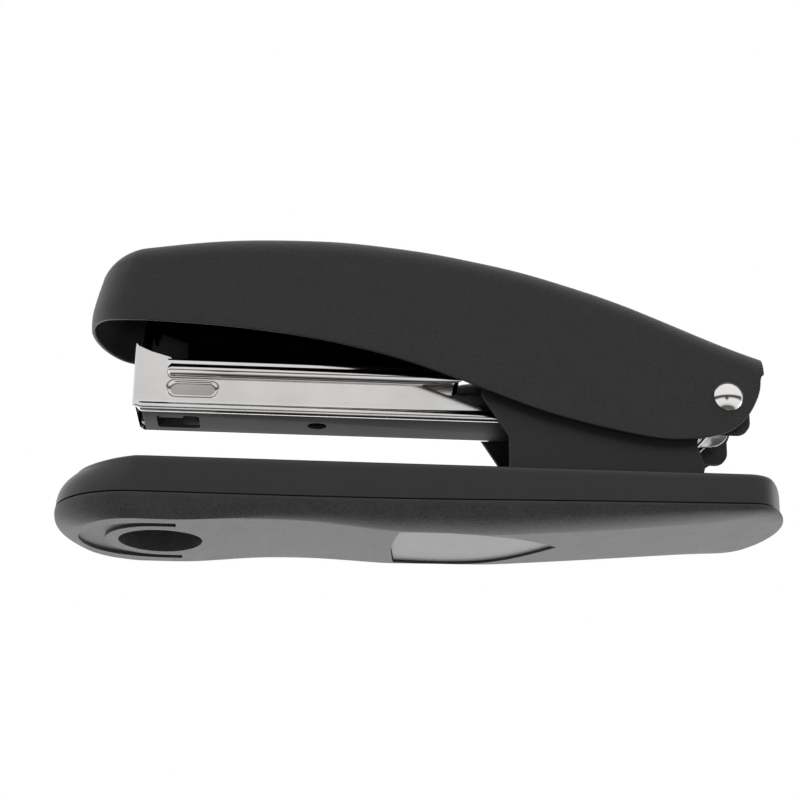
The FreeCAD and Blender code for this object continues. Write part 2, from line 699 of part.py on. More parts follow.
def blade_back():
    """Rear face of the blade where it meets the arm."""
    r = blade_radius() - blade_thickness
    up = arm_nose_z + 1 - pivot_z
    return pivot_x - math.sqrt(r * r - up * up) + 0.05


def make_blade():
    """Thin plate bowed to the arc of its own travel."""
    r = blade_radius()
    ring = Part.makeCylinder(r, 2 * inside_magazine - 0.6, vec(pivot_x, -inside_magazine + 0.3, pivot_z), vec(0, 1, 0))
    ring = ring.cut(Part.makeCylinder(r - blade_thickness, 40, vec(pivot_x, -20, pivot_z), vec(0, 1, 0)))
    blade = ring.common(box(pivot_x - r - 1, nose_x + 8, -20, 20, blade_tip_z, arm_nose_z + 0.5))
    for y in (-3, 3):
        blade = blade.cut(Part.makeCylinder(0.9, 8, vec(nose_x - 1, y, arm_nose_z - 2), vec(1, 0, 0)))
    return blade


def make_driver_rivets():
    out = []
    x0, x1 = pivot_x - blade_radius() + 0.9, blade_back() + arm_sheet
    for y in (-3, 3):
        z = arm_nose_z - 2
        shank = Part.makeCylinder(0.9, x1 - x0 + 0.4, vec(x0, y, z), vec(1, 0, 0))
        head = Part.makeCylinder(1.5, 0.5, vec(x1, y, z), vec(1, 0, 0))
        out.append(shank.fuse(head).removeSplitter())
    return out


def leaf_root():
    return nose_x + 16.0


def make_return_spring():
    """Leaf under the press arm: its curled end presses on the cover rail."""
    x0, x1 = leaf_root() - 4.5, -22.0
    z0 = arm_top_at(leaf_root()) - arm_sheet - leaf_thickness - 0.35
    t, curl = leaf_thickness, 2.2
    low = rail_top + 0.1
    path = side_prism((x0, z0), [
        (leaf_root() + 4, z0),
        ("curve", [(leaf_root() + 8, z0 - 0.9), (leaf_root() + 14, z0 - 3.4), (x1 - 5.0, low + 1.0), (x1, low)]),
        ("arc", (x1 + curl, low + curl), (x1, low + 2 * curl)),
        (x1, low + 2 * curl - t),
        ("arc", (x1 + curl - t, low + curl), (x1, low + t)),
        ("curve", [(x1 - 4.8, low + 1.0 + t), (leaf_root() + 14.3, z0 - 3.4 + t), (leaf_root() + 8.1, z0 - 0.9 + t),
                   (leaf_root() + 4, z0 + t)]),
        (x0, z0 + t),
    ], -leaf_width / 2, leaf_width / 2)
    return path.cut(post(leaf_root(), 0, 30, 60, 1.2))


def make_spring_rivet():
    x, top = leaf_root(), arm_top_at(leaf_root()) + 0.35
    z0 = arm_top_at(x) - arm_sheet - leaf_thickness - 0.35
    shank = post(x, 0, z0 - 0.6, top, 1.2)
    return shank.fuse([post(x, 0, z0 - 0.6, z0, 2.2), post(x, 0, top, top + 0.6, 2.0)]).removeSplitter()


os.makedirs("parts", exist_ok=True)
save("base_sole", make_sole())
save("base_top", make_base_top())
save("label_panel", make_panel())
save("anvil_plate", make_anvil_plate())
save("anvil_button", make_anvil_button())
save("anvil_washer", make_anvil_washer())
save("anvil_spring", make_anvil_spring())
save("hinge_bracket", make_bracket())
save("bracket_rivets", *make_bracket_rivets())
save("pivot_pin", make_pin())
save("lift_spring", make_lift_spring())
save("magazine_shell", make_magazine_shell())
save("staple_track", make_track())
save("track_rivets", *make_track_rivets())
save("guide_rod", make_rod())
save("rod_holder", make_rod_holder())
save("pusher", make_pusher())
save("pusher_spring", make_pusher_spring())
save("cover_rail", make_cover_rail())
save("handle_cover", make_handle_cover())
save("press_arm", make_press_arm())
save("driver_blade", make_blade())
save("driver_rivets", *make_driver_rivets())
save("return_spring", make_return_spring())
save("spring_rivet", make_spring_rivet())
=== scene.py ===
import math

import bmesh
import bpy
import numpy as np
from mathutils import Matrix


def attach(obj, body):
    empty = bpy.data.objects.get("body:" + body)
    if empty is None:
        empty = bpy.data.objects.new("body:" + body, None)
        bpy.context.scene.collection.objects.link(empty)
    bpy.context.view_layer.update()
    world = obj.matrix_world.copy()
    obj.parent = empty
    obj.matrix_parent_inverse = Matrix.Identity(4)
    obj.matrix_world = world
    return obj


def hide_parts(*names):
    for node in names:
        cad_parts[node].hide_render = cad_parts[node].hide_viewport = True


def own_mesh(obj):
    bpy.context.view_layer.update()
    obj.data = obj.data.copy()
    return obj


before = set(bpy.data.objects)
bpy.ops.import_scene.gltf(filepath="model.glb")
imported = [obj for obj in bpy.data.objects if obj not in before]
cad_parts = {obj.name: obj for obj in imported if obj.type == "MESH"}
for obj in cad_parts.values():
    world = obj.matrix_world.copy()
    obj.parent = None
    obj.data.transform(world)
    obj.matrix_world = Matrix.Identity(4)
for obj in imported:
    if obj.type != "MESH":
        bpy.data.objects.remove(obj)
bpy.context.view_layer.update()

mm = 0.001               # everything below is worked out in millimetres
weldWithin = 0.004       # corners closer than this are one


def smoothThrough(knots, values, at):
    # natural cubic spline through (knots, values): solve for the bends at the knots, then read each span's cubic
    k, v = np.asarray(knots, float), np.asarray(values, float)
    h, n = np.diff(k), len(k)
    a = np.eye(n)
    i = np.arange(1, n - 1)
    a[i, i - 1], a[i, i], a[i, i + 1] = h[:-1], 2 * (h[:-1] + h[1:]), h[1:]
    r = np.zeros(n)
    r[1:-1] = 6 * (np.diff(v)[1:] / h[1:] - np.diff(v)[:-1] / h[:-1])
    bend = np.linalg.solve(a, r)
    x = np.clip(np.asarray(at, float), k[0], k[-1])
    j = np.clip(np.searchsorted(k, x) - 1, 0, n - 2)
    p, q = x - k[j], k[j + 1] - x
    return (bend[j] * q ** 3 + bend[j + 1] * p ** 3) / (6 * h[j]) \
        + (v[j] / h[j] - bend[j] * h[j] / 6) * q + (v[j + 1] / h[j] - bend[j + 1] * h[j] / 6) * p


# a table of (place, value) knots read as one smooth curve
def readTable(table, at):
    k = np.array(table)
    return smoothThrough(k[:, 0], k[:, 1], at)


def curveThrough(points, count):
    # smooth curve through a few points, read evenly along its chord length
    p = np.asarray(points, float)
    c = np.concatenate([[0], np.cumsum(np.linalg.norm(np.diff(p, axis=0), axis=1))])
    at = np.linspace(0, c[-1], count)
    return np.stack([smoothThrough(c, p[:, i], at) for i in range(p.shape[1])], 1)


def ease(t):
    t = np.clip(t, 0, 1)
    return t * t * (3 - 2 * t)


def arc(cx, cy, r, a0, a1, n):
    # points of a circle's arc, angles in degrees
    a = np.radians(np.linspace(a0, a1, n))
    return np.stack([cx + r * np.cos(a), cy + r * np.sin(a)], 1)


def turnedIn(path, closed):
    # unit normals to the left of a plan path
    if closed:
        d = np.roll(path, -1, 0) - np.roll(path, 1, 0)
    else:
        d = np.gradient(path, axis=0)
    d /= np.maximum(np.linalg.norm(d, axis=1, keepdims=True), 1e-9)
    return np.stack([-d[:, 1], d[:, 0]], 1)


# Grids of points gathered into one mesh, in millimetres.
class Shape:

    def __init__(self):
        self.points, self.faces, self.count = [], [], 0

    def grid(self, p, loopV=False):
        # quads between neighbours of an nu x nv grid of points, closed along the second way if loopV
        nu, nv = p.shape[:2]
        i, j = np.meshgrid(np.arange(nu - 1), np.arange(nv if loopV else nv - 1), indexing="ij")
        j2 = (j + 1) % nv
        corners = np.stack([i * nv + j, (i + 1) * nv + j, (i + 1) * nv + j2, i * nv + j2], -1)
        self.faces += (corners.reshape(-1, 4) + self.count).tolist()
        self.points.append(p.reshape(-1, 3))
        self.count += nu * nv
        return self

    def cap(self, ring):
        self.faces.append(list(range(self.count, self.count + len(ring))))
        self.points.append(np.asarray(ring, float))
        self.count += len(ring)
        return self


# A mesh object from a Shape: doubles merged, faces outwards, smooth up to the sharp angle.
def makePiece(name, shape, sharp=32, closed=True):
    mesh = bpy.data.meshes.new(name)
    mesh.from_pydata((np.concatenate(shape.points) * mm).tolist(), [], shape.faces)
    bm = bmesh.new()
    bm.from_mesh(mesh)
    bmesh.ops.remove_doubles(bm, verts=bm.verts, dist=weldWithin * mm)
    bmesh.ops.dissolve_degenerate(bm, edges=bm.edges, dist=1e-7)
    if closed:
        bmesh.ops.recalc_face_normals(bm, faces=bm.faces)
        if bm.calc_volume(signed=True) < 0:
            bmesh.ops.reverse_faces(bm, faces=bm.faces)
    bm.to_mesh(mesh)
    bm.free()
    mesh.shade_smooth()
    mesh.set_sharp_from_angle(angle=math.radians(sharp))
    piece = bpy.data.objects.new(name, mesh)
    bpy.context.scene.collection.objects.link(piece)
    return piece


# Puts a finished piece on its body, with its look, in place of the nodes that it stands for.
def place(piece, body, look, *nodes):
    piece.data.materials.clear()
    piece.data.materials.append(finish[look])
    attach(piece, body)
    if nodes:
        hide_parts(*nodes)
    return piece


# Makes a piece's modifiers part of its mesh.
def settle(piece, sharp=32):
    bpy.context.view_layer.update()
    baked = bpy.data.meshes.new_from_object(piece.evaluated_get(bpy.context.evaluated_depsgraph_get()))
    piece.modifiers.clear()
    piece.data = baked
    baked.shade_smooth()
    baked.set_sharp_from_angle(angle=math.radians(sharp))
    return piece


# Cuts solid tools out of a piece, and removes the tools.
def cutWith(piece, tools):
    for tool in tools:
        step = piece.modifiers.new("cut", "BOOLEAN")
        step.operation, step.solver, step.object = "DIFFERENCE", "EXACT", tool
    settle(piece)
    for tool in tools:
        bpy.data.objects.remove(tool)
    return piece


# A small rounding on every edge sharper than angle.
def softEdges(piece, width, angle):
    step = piece.modifiers.new("edges", "BEVEL")
    step.width, step.segments, step.limit_method = width * mm, 2, "ANGLE"
    step.angle_limit = math.radians(angle)
    step.harden_normals = True


# Rows of points joined into a skin, each row a closed loop.
def loft(rows):
    return Shape().grid(np.array(rows), loopV=True)


def revolved(profile, centre, axis, count=64):
    # (radius, height) profile turned about an axis through centre
    p = np.asarray(profile, float)
    a = np.linspace(0, 2 * math.pi, count, endpoint=False)
    r, h = p[:, 0][:, None], p[:, 1][:, None]
    u, v = r * np.cos(a), r * np.sin(a)
    w = np.broadcast_to(h, u.shape)
    order = {"x": (w, u, v), "y": (v, w, u), "z": (u, v, w)}[axis]
    return np.stack(order, -1) + np.asarray(centre, float)


# Closed body of revolution; the profile starts and ends on the axis or on itself.
def solidOfRevolution(profile, centre, axis, count=64):
    return Shape().grid(revolved(profile, centre, axis, count), loopV=True)


def tube(path, r, around=14):
    # a circle of radius r carried along a path, its frame turned as little as possible from point to point
    p = np.asarray(path, float)
    d = np.gradient(p, axis=0)
    d /= np.linalg.norm(d, axis=1, keepdims=True)
    side = np.zeros_like(p)
    s = np.cross(d[0], [0.13, 0.31, 0.94])
    for i in range(len(p)):
        s = s - d[i] * (s @ d[i])
        s /= np.linalg.norm(s)
        side[i] = s
    up = np.cross(d, side)
    a = np.linspace(0, 2 * math.pi, around, endpoint=False)
    ring = side[:, None] * np.cos(a)[None, :, None] + up[:, None] * np.sin(a)[None, :, None]
    g = p[:, None] + r * ring
    return Shape().grid(g, loopV=True).cap(g[0]).cap(g[-1])


# A flat sheet: its outline carried through the thickness, with rounded edges and flat faces.
def roundedPlate(outline, low, high, edge, lay, steps=3):
    out = np.asarray(outline, float)
    n = turnedIn(out, True)
    a = np.linspace(0, math.pi / 2, steps + 1)
    inset = np.concatenate([edge * (1 - np.sin(a)), edge * (1 - np.cos(a))])
    depth = np.concatenate([low + edge * (1 - np.cos(a)), high - edge * (1 - np.sin(a))])
    flat = out[None] + n[None] * inset[:, None, None]
    g = lay(flat[..., 0], flat[..., 1], np.broadcast_to(depth[:, None], flat.shape[:2]))
    return Shape().grid(g, loopV=True).cap(g[0]).cap(g[-1])


def upright(x, z, y):
    return np.stack([x, y, z], -1)


def lying(x, y, z):
    return np.stack([x, y, z], -1)


# An (x, y) line at the given heights.
def atHeight(line, z):
    return np.stack([line[:, 0], line[:, 1], np.broadcast_to(z, len(line))], 1)


# The same upright sheet on each side of the middle plane, from inner to outer in Y.
def sheetPair(name, outline, inner, outer, edge):
    return [makePiece(name + word, roundedPlate(outline, low, high, edge, upright))
            for word, low, high in (("_near", -outer, -inner), ("_far", inner, outer))]


# An empty node group with the numbers that go in, {name: value}, and the names of those that come out.
def nodeGroup(name, inputs, *outputs):
    group = bpy.data.node_groups.new(name, "ShaderNodeTree")
    for label, value in inputs.items():
        group.interface.new_socket(label, in_out="INPUT", socket_type="NodeSocketFloat").default_value = value
    for label in outputs:
        group.interface.new_socket(label, in_out="OUTPUT", socket_type="NodeSocketFloat")
    start, end = group.nodes.new("NodeGroupInput"), group.nodes.new("NodeGroupOutput")
    return group, start, end


# Sets a node's inputs, by name or number, to a value or to what comes out of another node.
def feed(tree, node, inputs):
    for label, value in inputs.items():
        if isinstance(value, bpy.types.NodeSocket):
            tree.links.new(value, node.inputs[label])
        else:
            node.inputs[label].default_value = value
    return node


def add(tree, kind, inputs={}, **settings):
    node = tree.nodes.new(kind)
    for label, value in settings.items():
        setattr(node, label, value)
    return feed(tree, node, inputs)


def maths(tree, operation, *values, clamp=False):
    node = add(tree, "ShaderNodeMath", dict(enumerate(values)), operation=operation, use_clamp=clamp)
    return node.outputs[0]


# Noise in object space.
def noise(tree, scale, detail=2.0, rough=0.5, where=None):
    where = where or add(tree, "ShaderNodeTexCoord").outputs["Object"]
    inputs = {"Vector": where, "Scale": scale, "Detail": detail, "Roughness": rough}
    return add(tree, "ShaderNodeTexNoise", inputs).outputs[0]


# How far a 0 to 1 value is off its middle, times an amount.
def swing(tree, value, amount):
    return maths(tree, "MULTIPLY", maths(tree, "SUBTRACT", value, 0.5), amount)


# Moulded grain: fine cells and a softer mottle, as a height, a roughness and a tone.
def makeGrainGroup():
    g, start, end = nodeGroup("mouldedGrain", {"Cells per metre": 2600.0, "Mottle per metre": 240.0, "Depth": 0.6,
                                               "Roughness": 0.45, "Spread": 0.12}, "Height", "Roughness", "Tone")
    given = start.outputs
    cells, mottle = noise(g, given["Cells per metre"], 3.0, 0.65), noise(g, given["Mottle per metre"], 4.0)
    rough = maths(g, "ADD", given["Roughness"], swing(g, mottle, given["Spread"]))
    tone = maths(g, "ADD", swing(g, cells, 2.6), swing(g, mottle, 0.6))
    feed(g, end, {"Height": maths(g, "MULTIPLY", cells, given["Depth"]),
                  "Roughness": maths(g, "ADD", rough, swing(g, cells, given["Spread"]), clamp=True),
                  "Tone": maths(g, "ADD", tone, 0.5, clamp=True)})
    return g


# Edge wear and painted edge highlight: where the surface turns sharply, broken up by noise, from 0 to 1.
def makeWearAndHighlightGroup():
    g, start, end = nodeGroup("edgeWearAndHighlight", {"Reach": 0.0004, "Amount": 0.5}, "Wear and highlight")
    bevel = add(g, "ShaderNodeBevel", {"Radius": start.outputs["Reach"]}, samples=4).outputs[0]
    flat = add(g, "ShaderNodeNewGeometry").outputs["Normal"]
    turn = add(g, "ShaderNodeVectorMath", {0: bevel, 1: flat}, operation="DOT_PRODUCT").outputs["Value"]
    edge = maths(g, "MULTIPLY", maths(g, "SUBTRACT", 1.0, turn), 6.0, clamp=True)
    broken = maths(g, "MULTIPLY", edge, noise(g, 900.0), clamp=True)
    feed(g, end, {"Wear and highlight": maths(g, "MULTIPLY", broken, start.outputs["Amount"], clamp=True)})
    return g


# Rolled or drawn steel: fine lines along X, faint smears, and roughness that follows them.
def makeBrushGroup():
    g, start, end = nodeGroup("rolledSteel", {"Lines per metre": 2500.0, "Roughness": 0.2, "Spread": 0.1},
                              "Height", "Roughness", "Tone")
    where = add(g, "ShaderNodeTexCoord").outputs["Object"]
    stretch = add(g, "ShaderNodeMapping", {"Vector": where, "Scale": (0.04, 1.0, 1.0)}).outputs[0]
    lines, smear = noise(g, start.outputs["Lines per metre"], where=stretch), noise(g, 90.0, 5.0)
    mixed = maths(g, "ADD", maths(g, "MULTIPLY", lines, 0.5), maths(g, "MULTIPLY", smear, 0.5))
    rough = maths(g, "ADD", start.outputs["Roughness"], swing(g, mixed, start.outputs["Spread"]), clamp=True)
    feed(g, end, {"Roughness": rough, "Height": lines, "Tone": smear})
    return g


grainGroup, wearAndHighlightGroup, brushGroup = makeGrainGroup(), makeWearAndHighlightGroup(), makeBrushGroup()


def newMaterial(name):
    material = bpy.data.materials.new(name)
    material.use_nodes = True
    tree = material.node_tree
    return material, tree, tree.nodes["Principled BSDF"]


def mixTone(tree, factor, dark, light):
    ramp = add(tree, "ShaderNodeValToRGB", {0: factor})
    for stop, place, tone in zip(ramp.color_ramp.elements, (0.3, 0.7), (dark, light)):
        stop.position, stop.color = place, (*tone, 1)
    return ramp.outputs[0]


# Bump from a height, as deep as distance at full strength.
def relief(tree, height, strength, distance):
    return add(tree, "ShaderNodeBump", {"Strength": strength, "Distance": distance, "Height": height}).outputs[0]


# Moulded plastic: grain in the bump, roughness and tone, and edges a little lighter, partly wear and partly a painted
# highlight along rims and edges.
def plasticMaterial(name, dark, light, rough, cells, depth, bump, wearAndHighlight=0.35, spread=0.12, specular=0.5):
    material, tree, shader = newMaterial(name)
    inputs = {"Cells per metre": cells, "Depth": depth, "Roughness": rough, "Spread": spread}
    grain = add(tree, "ShaderNodeGroup", inputs, node_tree=grainGroup).outputs
    wornAndLit = add(tree, "ShaderNodeGroup", {"Amount": wearAndHighlight}, node_tree=wearAndHighlightGroup).outputs["Wear and highlight"]
    # the much lighter edge tone is partly wear and partly a painted highlight
    inputs = {"Factor": wornAndLit, "A": mixTone(tree, grain["Tone"], dark, light), "B": (*[c * 3 + 0.03 for c in light], 1)}
    tone = add(tree, "ShaderNodeMix", inputs, data_type="RGBA").outputs["Result"]
    feed(tree, shader, {"Base Color": tone, "Roughness": grain["Roughness"], "Specular IOR Level": specular,
                        "Normal": relief(tree, grain["Height"], bump, 0.00016)})
    return material


# Sheet, strip or wire steel: lines from rolling, tone that drifts, roughness to match; an edge below 1 dims the grazing
# reflections, which two looks use as painted shade.
def steelMaterial(name, dark, light, rough, lines, bump, spread, edge=1.0):
    material, tree, shader = newMaterial(name)
    inputs = {"Lines per metre": lines, "Roughness": rough, "Spread": spread}
    brush = add(tree, "ShaderNodeGroup", inputs, node_tree=brushGroup).outputs
    feed(tree, shader, {"Base Color": mixTone(tree, brush["Tone"], dark, light), "Roughness": brush["Roughness"],
                        "Normal": relief(tree, brush["Height"], bump, 0.00003), "Metallic": 1.0,
                        "Specular Tint": (edge, edge, edge, 1)})
    return material


# each look: dark and light tone, roughness, then grain or rolling lines per metre, their depth and spread
finish = {
    # the handle's strong edge lightening paints the highlight along its rim, besides wear
    "handle": plasticMaterial("handlePlastic", (0.001, 0.001, 0.001), (0.014, 0.014, 0.0145), 0.42, 3600.0, 1.4, 1.0,
                              wearAndHighlight=0.8, spread=0.25),
    "band": plasticMaterial("bandPlastic", (0.015, 0.015, 0.0155), (0.020, 0.020, 0.0205), 0.34, 4200.0, 0.4, 0.08),
    "sole": plasticMaterial("solePlastic", (0.007, 0.0064, 0.0072), (0.026, 0.0243, 0.0268), 0.44, 3000.0, 1.0, 0.9,
                            spread=0.10),
    "panel": plasticMaterial("panelPlastic", (0.122, 0.122, 0.126), (0.142, 0.142, 0.147), 0.35, 3000.0, 0.4, 0.10,
                             wearAndHighlight=0.0, specular=0.25),
    "inner": plasticMaterial("innerPlastic", (0.01, 0.01, 0.01), (0.014, 0.014, 0.014), 0.5, 2500.0, 0.5, 0.15),
    "painted": plasticMaterial("blackPaint", (0.006, 0.006, 0.0065), (0.009, 0.009, 0.0095), 0.46, 2600.0, 0.8, 0.30,
                               wearAndHighlight=0.5),
    "bright": steelMaterial("brightNickel", (0.60, 0.59, 0.58), (0.70, 0.69, 0.68), 0.14, 2200.0, 0.05, 0.12),
    "rail": steelMaterial("railNickel", (0.66, 0.64, 0.63), (0.72, 0.70, 0.69), 0.11, 2200.0, 0.04, 0.06),
    # magazine floor: steel much darker than the walls of the same channel, with dimmed grazing reflections, as painted
    # shade
    "floor": steelMaterial("satinSteelShaded", (0.055, 0.055, 0.055), (0.085, 0.085, 0.085), 0.5, 2600.0, 0.2, 0.16,
                           edge=0.6),
    # blued steel, darkened to near black with grazing reflections turned down as painted shade for the parts inside the
    # handle
    "bluedAndShaded": steelMaterial("bluedSteelAndShade", (0.003, 0.003, 0.003), (0.005, 0.005, 0.005), 0.45, 2600.0, 0.10, 0.16,
                           edge=0.12),
    "plain": steelMaterial("plainSteel", (0.46, 0.46, 0.46), (0.54, 0.54, 0.54), 0.30, 2400.0, 0.10, 0.14),
    "spring": steelMaterial("springSteel", (0.48, 0.48, 0.48), (0.58, 0.58, 0.58), 0.22, 3000.0, 0.05, 0.10),
    "pin": steelMaterial("polishedNickel", (0.78, 0.76, 0.74), (0.82, 0.80, 0.78), 0.07, 1500.0, 0.02, 0.04),
}
print("materials made:", len(finish))


# camera low in front of the piece, looking up at its underside
viewpoint = {"place": (-25.465, -388.081, -102.128), "turn": 3.030, "tilt": 19.269, "roll": 0.902, "lens": 83.7,
             "sensor": 36, "near": 0.01, "far": 20}


def aimCamera():
    turn, tilt, roll = (math.radians(viewpoint[k]) for k in ("turn", "tilt", "roll"))
    ahead = np.array([math.sin(turn) * math.cos(tilt), math.cos(turn) * math.cos(tilt), math.sin(tilt)])
    right = np.cross(ahead, [0, 0, 1])
    right /= np.linalg.norm(right)
    up = np.cross(right, ahead)
    across = math.cos(roll) * right + math.sin(roll) * up
    over = math.cos(roll) * up - math.sin(roll) * right
    camera = bpy.data.objects.new("camera", bpy.data.cameras.new("camera"))
    camera.data.lens, camera.data.sensor_width = viewpoint["lens"], viewpoint["sensor"]
    camera.data.clip_start, camera.data.clip_end = viewpoint["near"], viewpoint["far"]
    standing = np.eye(4)
    standing[:3, 0], standing[:3, 1], standing[:3, 2] = across, over, -ahead
    standing[:3, 3] = np.array(viewpoint["place"]) * mm
    camera.matrix_world = Matrix(standing.tolist())
    bpy.context.scene.collection.objects.link(camera)
    bpy.context.scene.camera = camera


aimCamera()

# studio: white behind and brighter below, where the camera still sees plain white; in front a ramp from straight down
# to straight up with a softbox above, a dark gap over the horizon and a pale ground; a small dark stand in front
studio = {"behind": 1.0, "behindBelow": 1.75, "belowFrom": 0.05, "belowTo": -0.15, "frontFrom": -0.20, "backFrom": 0.10,
          "standLeft": 0.16, "standLow": 0.10, "standFade": 5.0, "standSize": 0.6, "standTone": 0.07,
          "stops": ((0.0, 0.55), (0.03, 0.14), (0.106, 0.12), (0.16, 0.75), (0.25, 0.95), (0.43, 0.95), (0.485, 0.5),
                    (0.52, 0.08), (0.60, 0.08), (0.655, 0.95), (1.0, 1.0))}


def smoothRange(tree, value, low, high, atLow, atHigh):
    inputs = {"Value": value, "From Min": low, "From Max": high, "To Min": atLow, "To Max": atHigh}
    return add(tree, "ShaderNodeMapRange", inputs, interpolation_type="SMOOTHSTEP").outputs[0]


def lightStudio():
    scene, d = bpy.context.scene, studio
    scene.view_settings.view_transform, scene.view_settings.look = "Standard", "None"
    scene.world = bpy.data.worlds.new("studio")
    scene.world.use_nodes = True
    tree = scene.world.node_tree
    tree.nodes.clear()
    where = add(tree, "ShaderNodeTexCoord").outputs["Generated"]
    way = add(tree, "ShaderNodeSeparateXYZ", {0: where}).outputs
    ramp = add(tree, "ShaderNodeValToRGB", {0: maths(tree, "MULTIPLY_ADD", way["Z"], 0.5, 0.5)})
    stops = ramp.color_ramp.elements
    stops.remove(stops[1])
    for at, bright in d["stops"][1:]:
        stops.new(at)
    for stop, (at, bright) in zip(stops, d["stops"]):
        stop.position, stop.color = at, (bright, bright, bright, 1)
    # the stand: a soft diamond about one direction
    aside = maths(tree, "ABSOLUTE", maths(tree, "ADD", way["X"], d["standLeft"]))
    level = maths(tree, "ABSOLUTE", maths(tree, "ADD", way["Z"], d["standLow"]))
    reach = maths(tree, "MULTIPLY", maths(tree, "ADD", aside, level), d["standFade"])
    inputs = {"Factor": maths(tree, "SUBTRACT", reach, d["standSize"], clamp=True), "A": (*[d["standTone"]] * 3, 1),
              "B": ramp.outputs[0]}
    front = add(tree, "ShaderNodeMix", inputs, data_type="RGBA").outputs["Result"]
    seen = add(tree, "ShaderNodeLightPath").outputs["Is Camera Ray"]
    white = maths(tree, "MAXIMUM", smoothRange(tree, way["Y"], d["frontFrom"], d["backFrom"], 0, 1), seen)
    under = smoothRange(tree, way["Z"], d["belowFrom"], d["belowTo"], d["behind"], d["behindBelow"])
    extra = maths(tree, "MULTIPLY", maths(tree, "SUBTRACT", under, 1.0), maths(tree, "SUBTRACT", 1.0, seen))
    inputs = {"Factor": white, "A": front, "B": maths(tree, "ADD", extra, 1.0)}
    mix = add(tree, "ShaderNodeMix", inputs, data_type="RGBA")
    lit = add(tree, "ShaderNodeBackground", {"Color": mix.outputs["Result"]})
    add(tree, "ShaderNodeOutputWorld", {0: lit.outputs[0]})


lightStudio()


# pale floor at the resting plane: solid from above, clear from below; its half side is in metres
floorLook = {"side": 3.0, "dark": 0.80, "light": 0.84, "rough": 0.8, "patches": 4.0}


def layFloor():
    mesh = bpy.data.meshes.new("floor")
    side = floorLook["side"]
    mesh.from_pydata([(-side, -side, 0), (side, -side, 0), (side, side, 0), (-side, side, 0)], [], [(0, 1, 2, 3)])
    floor = bpy.data.objects.new("floor", mesh)
    bpy.context.scene.collection.objects.link(floor)
    material, tree, shader = newMaterial("paleFloor")
    tone = mixTone(tree, noise(tree, floorLook["patches"]), (floorLook["dark"],) * 3, (floorLook["light"],) * 3)
    feed(tree, shader, {"Base Color": tone, "Roughness": floorLook["rough"]})
    facing = add(tree, "ShaderNodeNewGeometry").outputs["Backfacing"]
    clear = add(tree, "ShaderNodeBsdfTransparent").outputs[0]
    mix = add(tree, "ShaderNodeMixShader", {0: facing, 1: shader.outputs[0], 2: clear})
    feed(tree, tree.nodes["Material Output"], {"Surface": mix.outputs[0]})
    mesh.materials.append(material)
    floor.visible_diffuse = floor.visible_glossy = floor.visible_shadow = floor.visible_transmission = False


layFloor()
print("camera, studio light and floor ready")


baseSize = {"half": 18.0, "length": 157.2, "top": 13.9, "corner": 7.0, "rearBow": 28.0}
halfLength = baseSize["length"] / 2


# a closed plan loop: half circle at the nose, straight sides, a bowed rear end with corners tangent to both
def basePlan(inset):
    w, c, bow = baseSize["half"] - inset, baseSize["corner"], baseSize["rearBow"]
    turnX, bowX, cornerY = baseSize["half"] - halfLength, halfLength - bow, baseSize["half"] - c
    cornerX = bowX + math.sqrt((bow - c) ** 2 - cornerY ** 2)
    turn = math.degrees(math.atan2(cornerY, cornerX - bowX))
    along = np.linspace(turnX, cornerX, 110)
    parts = [arc(turnX, 0, w, 90, 270, 73)[:-1],
             np.stack([along, np.full(110, -w)], 1)[:-1],
             arc(cornerX, -cornerY, c - inset, -90, -turn, 13)[:-1],
             arc(bowX, 0, bow - inset, -turn, turn, 31)[:-1],
             arc(cornerX, cornerY, c - inset, turn, 90, 13)[:-1],
             np.stack([along[::-1], np.full(110, w)], 1)[:-1]]
    return np.concatenate(parts)


# where the middle line of the base lies opposite each point of a plan loop, and the unit steps towards it
def towardsMiddle(loop):
    reach = halfLength - baseSize["half"]
    middle = np.stack([np.clip(loop[:, 0], -reach, reach), np.zeros(len(loop))], 1)
    step = middle - loop
    return middle, step / np.linalg.norm(step, axis=1, keepdims=True)


# heights along the base: the seam between band and sole, and the underside
seamLine = ((-78.6, 6.0), (-40.0, 6.0), (-7.9, 6.08), (35.4, 6.82), (60.0, 7.2), (78.6, 7.5))
floorLine = ((-78.6, 4.6), (-77.2, 2.1), (-74.6, 0.5), (-71.5, 0.03), (-67.0, 0.0), (-61.0, 0.0), (-55.0, 0.0),
             (-52.0, 0.02), (-46.0, 0.35), (-38.0, 0.95), (-29.0, 1.2), (-20.0, 0.95), (-12.0, 0.35), (-6.0, 0.02),
             (-2.0, 0.0), (4.0, 0.0), (10.0, 0.0), (14.0, 0.05), (23.0, 0.6), (33.6, 1.45), (44.0, 2.4), (53.2, 3.3),
             (62.0, 4.2), (70.0, 5.0), (75.6, 5.7), (78.6, 6.6))


def floorHeight(x):
    return np.maximum(readTable(floorLine, x), 0.0)


# noseward values add to the plain ones round the front end; lean grows with the cube of the height up the wall
bandShape = {"inset": 0.6, "wall": 1.6, "edge": 0.9, "edgeNoseward": 1.6, "lean": 3.2, "flush": 0.45, "lip": 0.12,
             "lipHeight": 2.0, "roofGap": 0.4, "noseDrop": 0.45, "noseFrom": -58, "noseOver": 14,
             "tailDrop": 2.0, "tailFrom": 73.4, "tailOver": 4.6}


